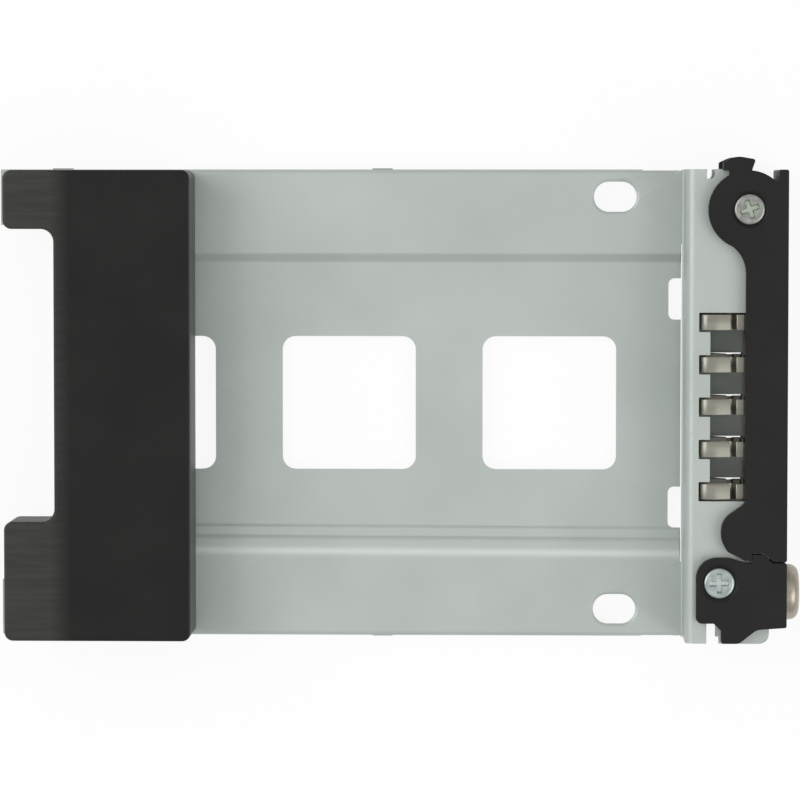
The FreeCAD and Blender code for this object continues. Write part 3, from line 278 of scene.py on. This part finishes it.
def press_floor(mesh):
    """Move the floor's vertices as the press does, and mark each with its share of a painted
    highlight: a bell curve across the line along the joggle."""
    places = vertex_places(mesh)
    on_floor = (places[:, 2] < FLOOR_TOP) & (places[:, 0] < FLOOR_FRONT)
    along, across = places[:, 0] * 1000, places[:, 1] * 1000
    drift = JOGGLE_DRIFT * (along - DRIFT_ORIGIN)
    # Painted highlight along the latch's joggle, standing in for the light that its slope catches.
    highlight_share = np.exp(-((across + drift - HIGHLIGHT_LINE) / HIGHLIGHT_SPREAD) ** 2)
    places[:, 2] += on_floor * pressed_shift(along, across, drift) / 1000
    mesh.vertices.foreach_set("co", places.ravel())
    mesh.update()
    mark_vertices(mesh, "painted_highlight", on_floor * highlight_share)


def close_wall(skin):
    """Take out the sides of the front wall's small slots and close both of its faces."""
    sides = [f for f in skin.faces if abs(f.normal.x) < 0.5
             and all(WALL_BACK < v.co.x < WALL_FRONT and abs(v.co.y) < SLOTS_HALF_WIDTH
                     and SLOTS_LOW < v.co.z < SLOTS_HIGH for v in f.verts)]
    bmesh.ops.delete(skin, geom=sides, context="FACES_ONLY")
    rims = [e for e in skin.edges if e.is_boundary]
    bmesh.ops.holes_fill(skin, edges=rims, sides=0)
    bmesh.ops.recalc_face_normals(skin, faces=skin.faces)


zinc_sheet = make_zinc_sheet()
finish_nodes(zinc_sheet, "base_bracket")
tray_skin = joined_skin("drive_tray")
split_floor(tray_skin)
close_wall(tray_skin)
even_normals(piece_from_skin("pressed_tray", tray_skin, zinc_sheet, "drive_tray", "tray",
                             press_floor))

# ---------------------------------------------------------------- rivets
# Two soft steel rivets, closed cold, hold the bracket to the front wall: a domed head in front,
# and a shank set flush with the wall's back.

RIVET_HEAD = 0.0005
RIVET_SHANK = 0.0008
RIVET_BREAK = 0.0001
SHARP_TURN = math.radians(40)
STEEL_DARK = (0.42, 0.43, 0.43)
STEEL_LIGHT = (0.55, 0.56, 0.55)


def grid_mesh(name, points, material, wrap_rows=False, wrap_columns=False):
    """A surface through a grid of points: one four sided face for each cell of the grid, with
    poles and seams welded."""
    rows, columns = points.shape[:2]
    index = np.arange(rows * columns).reshape(rows, columns)
    down = np.vstack([index, index[:1]]) if wrap_rows else index
    down = np.hstack([down, down[:, :1]]) if wrap_columns else down
    faces = np.stack([down[:-1, :-1], down[:-1, 1:], down[1:, 1:], down[1:, :-1]], axis=-1)
    mesh = bpy.data.meshes.new(name)
    mesh.from_pydata(points.reshape(-1, 3).tolist(), [], faces.reshape(-1, 4).tolist())
    tidy = bmesh.new()
    tidy.from_mesh(mesh)
    bmesh.ops.remove_doubles(tidy, verts=tidy.verts, dist=1e-7)
    bmesh.ops.recalc_face_normals(tidy, faces=tidy.faces)
    tidy.to_mesh(mesh)
    tidy.free()
    mesh.shade_smooth()
    mesh.set_sharp_from_angle(angle=SHARP_TURN)
    mesh.materials.append(material)
    piece = bpy.data.objects.new(name, mesh)
    bpy.context.scene.collection.objects.link(piece)
    return piece


def turned(profile, centre, axis, count):
    """A profile of (radius, height) turned about an axis: the angle runs along the rows."""
    angle = np.linspace(0, 2 * np.pi, count, endpoint=False)[None, :, None]
    radius, height = np.asarray(profile, float).T[:, :, None, None]
    along = np.asarray(axis, float)
    side = np.roll(along, 1)
    across = np.cross(along, side)
    ring = side * np.cos(angle) + across * np.sin(angle)
    return np.asarray(centre) + radius * ring + height * along


def make_steel():
    """Turned or drawn steel: fine rings of the tool under a dull grey skin."""
    material, tree, shader, place = new_material("turned_steel", 1.0, 0.35)
    clouds = grain(tree, place, 300, 3)
    tree.links.new(ramp(tree, clouds, STEEL_DARK, STEEL_LIGHT), shader.inputs["Base Color"])
    tree.links.new(level(tree, clouds, 0.28, 0.42), shader.inputs["Roughness"])
    bump(tree, shader, grain(tree, place, 5000, 1, (1, 1, 0.05)), 0.000004)
    return material


turned_steel = make_steel()
finish_nodes(turned_steel, "lever_bush", "latch_bush", "release_peg")

for side in ("left", "right"):
    node = "bracket_rivet_" + side
    low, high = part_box(node)
    radius = (high.z - low.z) / 2
    centre = (0, (low.y + high.y) / 2, (low.z + high.z) / 2)
    under = high.x - RIVET_HEAD
    profile = [(radius * math.sin(t), under + RIVET_HEAD * math.cos(t))
               for t in np.linspace(0, np.pi / 2, 10)]
    profile += [(RIVET_SHANK, under), (RIVET_SHANK, low.x + RIVET_BREAK),
                (RIVET_SHANK - RIVET_BREAK, low.x), (0, low.x)]
    rivet = grid_mesh("rivet_" + side, turned(profile, centre, (1, 0, 0), 40),
                      turned_steel, wrap_columns=True)
    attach(rivet, "tray")
    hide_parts(node)

# ---------------------------------------------------------------- contact strips
# Spring strips of thin nickel plated steel, one under each flange. Each has five fingers that
# are rolled back over themselves and stand out of the flange, and a carrier band behind them.

NICKEL_LIGHT = (0.335, 0.325, 0.275)
NICKEL_DARK = (0.27, 0.262, 0.222)
STRIP_GAUGE = 0.0002
STRIP_EDGE = 0.00005
FINGER_HALF = 0.001125
FINGER_PITCH = 0.00623
# How far each level lies below the roll's crest.
CARRIER_DROP = 0.00145
TAB_DROP = 0.00063
TIP_DROP = 0.0004
# Where each bend stands in front of the roll's back, from the band to the free tip, and the
# radius of each bend in turn.
BAND_BACK = 0.0068
CARRIER_BEND = 0.0066
TAB_FRONT = 0.00641
TAB_BACK = 0.00534
FOOT_FRONT = 0.00486
CREST_FRONT = 0.00216
TIP_FRONT = 0.00435
BEND_RADII = (0.00015, 0.00015, 0.00012, 0.0008, 0.00122, 0.00122, 0.005)
BEND_STEPS = 12
EDGE_STEPS = 3
# The lower fingers widen from the tip to the roll: where, and by how much on each side.
WIDER_AT = np.array([0, 0.0022, 0.0044])
WIDER_BY = np.array([0.00024, 0.00022, 0.0001])


def make_nickel():
    """Nickel plating on rolled strip: warm, with streaks along the strip's length."""
    material, tree, shader, place = new_material("nickel_strip", 1.0, 0.42)
    streaks = grain(tree, place, 900, 3, (0.15, 1, 0.15))
    tree.links.new(ramp(tree, streaks, NICKEL_DARK, NICKEL_LIGHT), shader.inputs["Base Color"])
    tree.links.new(level(tree, streaks, 0.38, 0.48), shader.inputs["Roughness"])
    bump(tree, shader, grain(tree, place, 3000, 2, (0.1, 1, 0.1)), 0.000003)
    return material


def rounded_path(corners, radii, steps):
    """Points along straight runs joined by arcs: each corner is cut by an arc of its radius."""
    corners = np.asarray(corners, float)
    points = [corners[0]]
    for before, at, after, radius in zip(corners, corners[1:], corners[2:], radii):
        back, ahead = before - at, after - at
        back, ahead = back / np.linalg.norm(back), ahead / np.linalg.norm(ahead)
        half = math.acos(np.clip(back @ ahead, -1, 1)) / 2
        middle = (back + ahead) / np.linalg.norm(back + ahead)
        centre = at + middle * radius / math.sin(half)
        start = at + back * radius / math.tan(half) - centre
        end = at + ahead * radius / math.tan(half) - centre
        sweep = math.pi - 2 * half
        share = np.linspace(0, 1, steps)[:, None]
        points.extend(centre + (start * np.sin((1 - share) * sweep) + end * np.sin(share * sweep))
                      / math.sin(sweep))
    points.append(corners[-1])
    return np.array(points)


def ribbon(path, middle, half_width):
    """A strip with rounded edges carried along a path in the XZ plane: the section is a flat
    rectangle with quarter circle corners, and its ends are closed in the middle."""
    tangent = np.gradient(path, axis=0)
    tangent /= np.linalg.norm(tangent, axis=1)[:, None]
    normal = np.stack([-tangent[:, 1], tangent[:, 0]], axis=1)
    turn = np.linspace(0, np.pi / 2, EDGE_STEPS)
    corner = np.concatenate([turn + k * np.pi / 2 for k in range(4)])
    quarter = np.repeat(np.arange(4), EDGE_STEPS)
    half = np.broadcast_to(half_width, len(path))[:, None]
    across = (half - STRIP_EDGE) * np.array([1, -1, -1, 1])[quarter]
    across = across + STRIP_EDGE * np.cos(corner)
    rise = (STRIP_GAUGE / 2 - STRIP_EDGE) * np.array([1, 1, -1, -1])[quarter]
    rise = rise + STRIP_EDGE * np.sin(corner)
    points = np.empty((len(path), len(corner), 3))
    points[:, :, 0] = path[:, None, 0] + normal[:, None, 0] * rise
    points[:, :, 2] = path[:, None, 1] + normal[:, None, 1] * rise
    points[:, :, 1] = middle + across
    first, last = (np.broadcast_to(end.mean(axis=1, keepdims=True), end.shape)
                   for end in (points[:1], points[-1:]))
    return np.concatenate([first, points, last])


nickel_strip = make_nickel()
for level_name, flip in (("top", 1), ("bottom", -1)):
    node = "contact_strip_" + level_name
    low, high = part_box(node)
    half_gauge = STRIP_GAUGE / 2
    crest = (high.z if flip > 0 else low.z) - flip * half_gauge
    foot = (low.z if flip > 0 else high.z) + flip * half_gauge
    back = low.x + half_gauge
    front = high.x - half_gauge
    tab = crest - flip * TAB_DROP
    carrier = crest - flip * CARRIER_DROP
    path = rounded_path(
        [(front, carrier), (back + CARRIER_BEND, carrier), (back + TAB_FRONT, tab),
         (back + TAB_BACK, tab), (back + FOOT_FRONT, foot), (back, foot), (back, crest),
         (back + CREST_FRONT, crest), (back + TIP_FRONT, crest - flip * TIP_DROP)],
        BEND_RADII, BEND_STEPS)
    half = np.full(len(path), FINGER_HALF)
    if flip < 0:
        half = np.interp(path[:, 0], back + WIDER_AT, FINGER_HALF + WIDER_BY)
    pieces = []
    for number in range(-2, 3):
        strip = ribbon(path, number * FINGER_PITCH, half)
        pieces.append(grid_mesh(f"contact_finger_{level_name}_{number + 3}", strip, nickel_strip,
                                wrap_columns=True))
    band_path = np.array([(back + BAND_BACK, carrier), (high.x, carrier)])
    pieces.append(grid_mesh(f"contact_band_{level_name}",
                            ribbon(band_path, 0, (high.y - low.y) / 2),
                            nickel_strip, wrap_columns=True))
    for piece in pieces:
        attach(piece, "tray")
    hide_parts(node)

# ---------------------------------------------------------------- rear block
# A black moulding that guides the tray's end and frames the backplane connector. It is screwed
# on from below and has the fine matt grain of its mould.

BLOCK_ENDS = -0.085
BLOCK_REACH = 0.00033
BLACK_BODY = (0.0110, 0.0114, 0.0106)
BLACK_WORN = (0.0155, 0.0160, 0.0148)
BLACK_SPECULAR = 0.18
BLOCK_BODY = (0.0085, 0.0088, 0.0082)
BLOCK_WORN = (0.0125, 0.0130, 0.0118)
BLOCK_RUBBED = (0.047, 0.050, 0.043)
# A painted reflection on the block's walls that face the tray's front.
BLOCK_PAINTED_REFLECTION = (0.070, 0.078, 0.073)
RUBBED_FROM = -0.0805
RUBBED_TO = -0.0835
PLASTIC_EDGE = 0.00018


def make_black_plastic(name, body, worn, specular):
    """Moulded black plastic: a spark eroded grain, slightly paler where it is handled."""
    material, tree, shader, place = new_material(name, 0.0, 0.45, specular)
    clouds = grain(tree, place, 90, 3)
    tree.links.new(ramp(tree, clouds, body, worn), shader.inputs["Base Color"])
    fine = grain(tree, place, 4200, 2)
    tree.links.new(level(tree, fine, 0.4, 0.52), shader.inputs["Roughness"])
    bump(tree, shader, fine, 0.000015)
    return material


def soften(piece):
    """Round off the edges that a mould leaves, and keep the faces flat."""
    bevel = piece.modifiers.new("soft_edges", "BEVEL")
    bevel.width = PLASTIC_EDGE
    bevel.segments = 2
    bevel.limit_method = "ANGLE"
    bevel.angle_limit = math.radians(35)
    bevel.use_clamp_overlap = True
    even_normals(piece)


def plain_faces(skin):
    """Join the triangles of each flat face into one face."""
    bmesh.ops.dissolve_limit(skin, angle_limit=math.radians(1), verts=skin.verts, edges=skin.edges)
    return skin


def rub_block_and_paint_reflection(material):
    """The ears' ends are rubbed paler along the tray, and the walls that face the tray's front are
    painted paler than the grained top: a painted reflection of the bright floor beside them."""
    tree = material.node_tree
    shader = tree.nodes["Principled BSDF"]
    place = next(n for n in tree.nodes if n.type == "TEX_COORD")
    body = shader.inputs["Base Color"].links[0].from_socket
    parts = tree.nodes.new("ShaderNodeSeparateXYZ")
    tree.links.new(place.outputs["Object"], parts.inputs[0])
    ends = level(tree, parts.outputs["X"], 0.0, 1.0, RUBBED_FROM, RUBBED_TO)
    streaks = grain(tree, place.outputs["Object"], 1500, 2, (0.1, 1, 1))
    share = tree.nodes.new("ShaderNodeMath")
    share.operation = "MULTIPLY"
    tree.links.new(ends, share.inputs[0])
    tree.links.new(level(tree, streaks, 0.55, 0.85), share.inputs[1])
    rubbed = mix_colour(tree, share.outputs[0], body, BLOCK_RUBBED)
    facing = tree.nodes.new("ShaderNodeSeparateXYZ")
    tree.links.new(place.outputs["Normal"], facing.inputs[0])
    # Painted reflection: walls facing the tray's front are painted paler, for the bright floor
    # that they reflect.
    painted_reflection = level(tree, facing.outputs["X"], 0.0, 1.0, 0.5, 0.95)
    tree.links.new(mix_colour(tree, painted_reflection, rubbed, BLOCK_PAINTED_REFLECTION), shader.inputs["Base Color"])


def lengthen_ears(mesh):
    """Move what lies beyond the roots of the ears back, all by the same reach."""
    places = vertex_places(mesh)
    places[:, 0] -= BLOCK_REACH * (places[:, 0] < BLOCK_ENDS)
    mesh.vertices.foreach_set("co", places.ravel())
    mesh.update()


block_black = make_black_plastic("block_black", BLOCK_BODY, BLOCK_WORN, BLACK_SPECULAR)
rub_block_and_paint_reflection(block_black)
soften(piece_from_skin("guide_block", plain_faces(joined_skin("rear_block")), block_black,
                       "rear_block", "tray", lengthen_ears))

# ---------------------------------------------------------------- lever and latch
# Two black mouldings of C section that swing on bushes in the front bay. Their edges are softly
# rounded by the mould, and each pivot screw sits in a dished seat.

SEAT_INNER = 0.00229
SEAT_OUTER = 0.00273
SEAT_DEPTH = 0.0009
SEAT_LIP = 0.00032
SEAT_RIM = 0.0003
RIM_TOP = 0.00004
RIM_FALL = 0.0002

moulded_black = make_black_plastic("moulded_black", BLACK_BODY, BLACK_WORN, BLACK_SPECULAR)
for node, name in (("lever", "swing_lever"), ("latch", "swing_latch")):
    moving = piece_from_skin(name, plain_faces(joined_skin(node)), moulded_black, node, node)
    soften(moving)
    low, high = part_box(node + "_bush")
    middle = (low + high) / 2
    for end, flip, face in (("top", 1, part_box(node)[1].z), ("bottom", -1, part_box(node)[0].z)):
        dish = [(SEAT_INNER, -SEAT_DEPTH), (SEAT_INNER, -SEAT_LIP), (SEAT_OUTER, -RIM_TOP),
                (SEAT_OUTER + SEAT_RIM, -RIM_FALL), (SEAT_OUTER + SEAT_RIM, -SEAT_DEPTH)]
        seat = grid_mesh(f"{node}_seat_{end}",
                         turned(dish, (middle.x, middle.y, face), (0, 0, flip), 64),
                         moulded_black, wrap_rows=True, wrap_columns=True)
        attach(seat, node)

# ---------------------------------------------------------------- screws
# Small zinc plated pan head screws with a cross recess, four in the pivots and two that come up
# through the floor into the rear block.

SHANK_RADIUS = 0.00125
SHANK_BREAK = 0.0002
PIVOT_HEAD = 0.00095
FLOOR_HEAD = 0.0013
PAN_FLAT = 0.78
PAN_FALL = 0.34
RECESS_HALF = 0.00034
RECESS_REACH = 0.00135
RECESS_DEPTH = 0.0006
RECESS_WALL = 0.00016
WARM_LIGHT = (0.40, 0.405, 0.375)
WARM_DARK = (0.26, 0.265, 0.245)
# Painted highlights: the recess colours are paler than the crown, for the light that the recess
# walls catch.
WARM_RECESS_HIGHLIGHT = (0.47, 0.53, 0.45)
BLUE_LIGHT = (0.47, 0.53, 0.52)
BLUE_DARK = (0.34, 0.39, 0.385)
BLUE_RECESS_HIGHLIGHT = (0.56, 0.62, 0.60)


def make_screw_zinc(name, light, dark, recess_highlight):
    """Passivated zinc on a headed screw: scuffed crown, and a painted highlight that makes the
    recess paler than the crown.
    """
    material, tree, shader, place = new_material(name, 0.85, 0.35)
    scuffs = grain(tree, place, 900, 3)
    depth = tree.nodes.new("ShaderNodeAttribute")
    depth.attribute_name = "recess"
    # The recess is painted paler: a painted highlight.
    mixed = mix_colour(tree, depth.outputs["Fac"], ramp(tree, scuffs, dark, light), recess_highlight)
    tree.links.new(mixed, shader.inputs["Base Color"])
    tree.links.new(level(tree, scuffs, 0.3, 0.45), shader.inputs["Roughness"])
    bump(tree, shader, grain(tree, place, 4000, 2), 0.000005)
    return material


def smooth_step(value):
    """Zero below nought, one above one, and an S curve between."""
    share = np.clip(value, 0, 1)
    return share * share * (3 - 2 * share)


def cross_screw(name, node, flip, head_height, turn, material, body):
    """A pan head screw as a polar grid: the crown is flat out to a share of its radius and then
    falls as a quarter ellipse. The recess is sunk where a point lies inside either arm of a
    cross: its depth is the larger of two products of S curves, one along and one across an arm."""
    low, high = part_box(node)
    radius = (high.y - low.y) / 2
    crown = high.z if flip > 0 else low.z
    length = high.z - low.z
    middle = np.array([(low.x + high.x) / 2, (low.y + high.y) / 2, crown])
    rim = 1 - 0.03 * np.cos(np.linspace(0.4, np.pi / 2, 6))
    share = np.concatenate([np.linspace(0, 0.97, 50), rim])
    drop = np.clip((share - PAN_FLAT) / (1 - PAN_FLAT), 0, 1)
    fall = (1 - np.sqrt(np.clip(1 - drop ** 2.4, 0, 1))) * head_height * PAN_FALL
    angle = np.linspace(0, 2 * np.pi, 144, endpoint=False)
    across = radius * share[:, None] * np.cos(angle)
    along = radius * share[:, None] * np.sin(angle)
    arms = [smooth_step((RECESS_HALF - abs(p)) / RECESS_WALL + 0.5)
            * smooth_step((RECESS_REACH - abs(q)) / RECESS_WALL / 2 + 0.5)
            for p, q in ((across, along), (along, across))]
    sunk = np.maximum(*arms)
    profile = [(radius, head_height), (SHANK_RADIUS, head_height),
               (SHANK_RADIUS, length - SHANK_BREAK), (SHANK_RADIUS - SHANK_BREAK, length),
               (0, length)]
    reach, depth = np.array(profile).T
    spread = np.concatenate([radius * share, reach])[:, None]
    points = np.empty((len(spread), len(angle), 3))
    points[:, :, 0] = middle[0] + spread * np.cos(angle + turn)
    points[:, :, 1] = middle[1] + spread * np.sin(angle + turn)
    level_below = np.concatenate([fall[:, None] + RECESS_DEPTH * sunk,
                                  np.broadcast_to(depth[:, None], (len(depth), len(angle)))])
    points[:, :, 2] = crown - flip * level_below
    screw = grid_mesh(name, points, material, wrap_columns=True)
    where = vertex_places(screw.data) - middle
    p = where[:, 0] * math.cos(turn) + where[:, 1] * math.sin(turn)
    q = where[:, 1] * math.cos(turn) - where[:, 0] * math.sin(turn)
    inside = np.maximum((abs(p) < RECESS_HALF) * (abs(q) < RECESS_REACH),
                        (abs(q) < RECESS_HALF) * (abs(p) < RECESS_REACH))
    inside = inside * (abs(where[:, 2]) < head_height)
    mark_vertices(screw.data, "recess", inside)
    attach(screw, body)
    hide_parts(node)


warm_zinc = make_screw_zinc("screw_warm", WARM_LIGHT, WARM_DARK, WARM_RECESS_HIGHLIGHT)
blue_zinc = make_screw_zinc("screw_blue", BLUE_LIGHT, BLUE_DARK, BLUE_RECESS_HIGHLIGHT)
cross_screw("lever_screw_upper", "lever_screw_top", 1, PIVOT_HEAD, 0.35, warm_zinc, "tray")
cross_screw("lever_screw_under", "lever_screw_bottom", -1, PIVOT_HEAD, 0.9, warm_zinc, "tray")
cross_screw("latch_screw_upper", "latch_screw_top", 1, PIVOT_HEAD, 0.03, blue_zinc, "tray")
cross_screw("latch_screw_under", "latch_screw_bottom", -1, PIVOT_HEAD, 0.6, blue_zinc, "tray")
cross_screw("floor_screw_left", "block_screw_left", -1, FLOOR_HEAD, 0.2, blue_zinc, "tray")
cross_screw("floor_screw_right", "block_screw_right", -1, FLOOR_HEAD, 1.1, blue_zinc, "tray")

# ---------------------------------------------------------------- button and springs
# The push button is turned, nickel plated and satin, and the two torsion springs are wound from
# drawn spring wire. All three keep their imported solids.

BUTTON_DARK = (0.35, 0.315, 0.255)
BUTTON_LIGHT = (0.47, 0.43, 0.36)


def make_button_nickel():
    """Satin nickel: warm grey with a soft broad sheen."""
    material, tree, shader, place = new_material("button_nickel", 0.9, 0.38)
    clouds = grain(tree, place, 500, 3)
    tree.links.new(ramp(tree, clouds, BUTTON_DARK, BUTTON_LIGHT), shader.inputs["Base Color"])
    bump(tree, shader, grain(tree, place, 5000, 2), 0.000004)
    return material


button_nickel = make_button_nickel()
finish_nodes(button_nickel, "release_button")
finish_nodes(turned_steel, "lever_spring", "latch_spring")

# ---------------------------------------------------------------- studio
# A white sheet of paper that the tray stands on, a sky that brightens overhead, and two broad
# softboxes to the left and right of the tray.

FLOOR_COLOUR = (0.86, 0.86, 0.86)
FLOOR_HALF = 1.5
FLOOR_WHITE = 0.9
SKY_EDGE = 0.42
SKY_TOP = 0.8

lowest = cad_box[0][2]


def camera_white(tree, shader, surface_share):
    """White for the camera and for mirrors, mixed with the shader so that shadows stay."""
    glow = tree.nodes.new("ShaderNodeEmission")
    path = tree.nodes.new("ShaderNodeLightPath")
    seen = tree.nodes.new("ShaderNodeMath")
    seen.operation = "MAXIMUM"
    tree.links.new(path.outputs["Is Camera Ray"], seen.inputs[0])
    tree.links.new(path.outputs["Is Glossy Ray"], seen.inputs[1])
    share = tree.nodes.new("ShaderNodeMath")
    share.operation = "MULTIPLY"
    share.inputs[1].default_value = surface_share
    tree.links.new(seen.outputs[0], share.inputs[0])
    mix = tree.nodes.new("ShaderNodeMixShader")
    tree.links.new(share.outputs[0], mix.inputs[0])
    tree.links.new(shader.outputs[0], mix.inputs[1])
    tree.links.new(glow.outputs[0], mix.inputs[2])
    return mix.outputs[0]


paper, tree, shader, _ = new_material("studio_paper", 0.0, 0.9)
shader.inputs["Base Color"].default_value = FLOOR_COLOUR + (1,)
tree.links.new(camera_white(tree, shader, FLOOR_WHITE),
               tree.nodes["Material Output"].inputs["Surface"])
reach = np.linspace(-FLOOR_HALF, FLOOR_HALF, 3)
floor_points = np.stack([*np.meshgrid(reach, reach, indexing="ij"), np.full((3, 3), lowest)], -1)
floor = grid_mesh("studio_floor", floor_points, paper)

world = bpy.data.worlds.new("studio_sky")
bpy.context.scene.world = world
world.use_nodes = True
sky = world.node_tree
ray = sky.nodes.new("ShaderNodeTexCoord").outputs["Generated"]
split = sky.nodes.new("ShaderNodeSeparateXYZ")
sky.links.new(ray, split.inputs[0])
brightness = level(sky, split.outputs["Z"], SKY_EDGE, SKY_TOP, 0.0, 1.0)
backdrop = sky.nodes["Background"]
sky.links.new(brightness, backdrop.inputs["Strength"])
backdrop.inputs["Color"].default_value = (1, 1, 1, 1)


def softbox(name, place, size, power):
    """A square lamp that faces the object and isn't seen itself."""
    lamp = bpy.data.lights.new(name, "AREA")
    lamp.size = size
    lamp.energy = power
    holder = bpy.data.objects.new(name, lamp)
    bpy.context.scene.collection.objects.link(holder)
    holder.location = place
    holder.rotation_euler = (-holder.location).to_track_quat("-Z", "Y").to_euler()
    holder.visible_camera = False


softbox("softbox_left", (-0.55, 0.15, 0.45), 0.5, 2.2)
softbox("softbox_right", (0.5, -0.2, 0.5), 0.45, 1.6)

# ---------------------------------------------------------------- camera
# A long lens that looks nearly straight down at the middle of the tray, from a little towards
# the front and the lever's side of it.

LENS_LENGTH = 176.9
SENSOR_WIDTH = 36.0
CAMERA_PLACE = (-0.01587, 0.03194, 0.58714)
CAMERA_DEGREES = (-3.066, 1.584, 0.016)

lens = bpy.data.cameras.new("camera")
lens.lens = LENS_LENGTH
lens.sensor_width = SENSOR_WIDTH
camera = bpy.data.objects.new("camera", lens)
bpy.context.scene.collection.objects.link(camera)
camera.location = CAMERA_PLACE
camera.rotation_euler = [math.radians(angle) for angle in CAMERA_DEGREES]
bpy.context.scene.camera = camera
bpy.context.scene.view_settings.view_transform = "Standard"
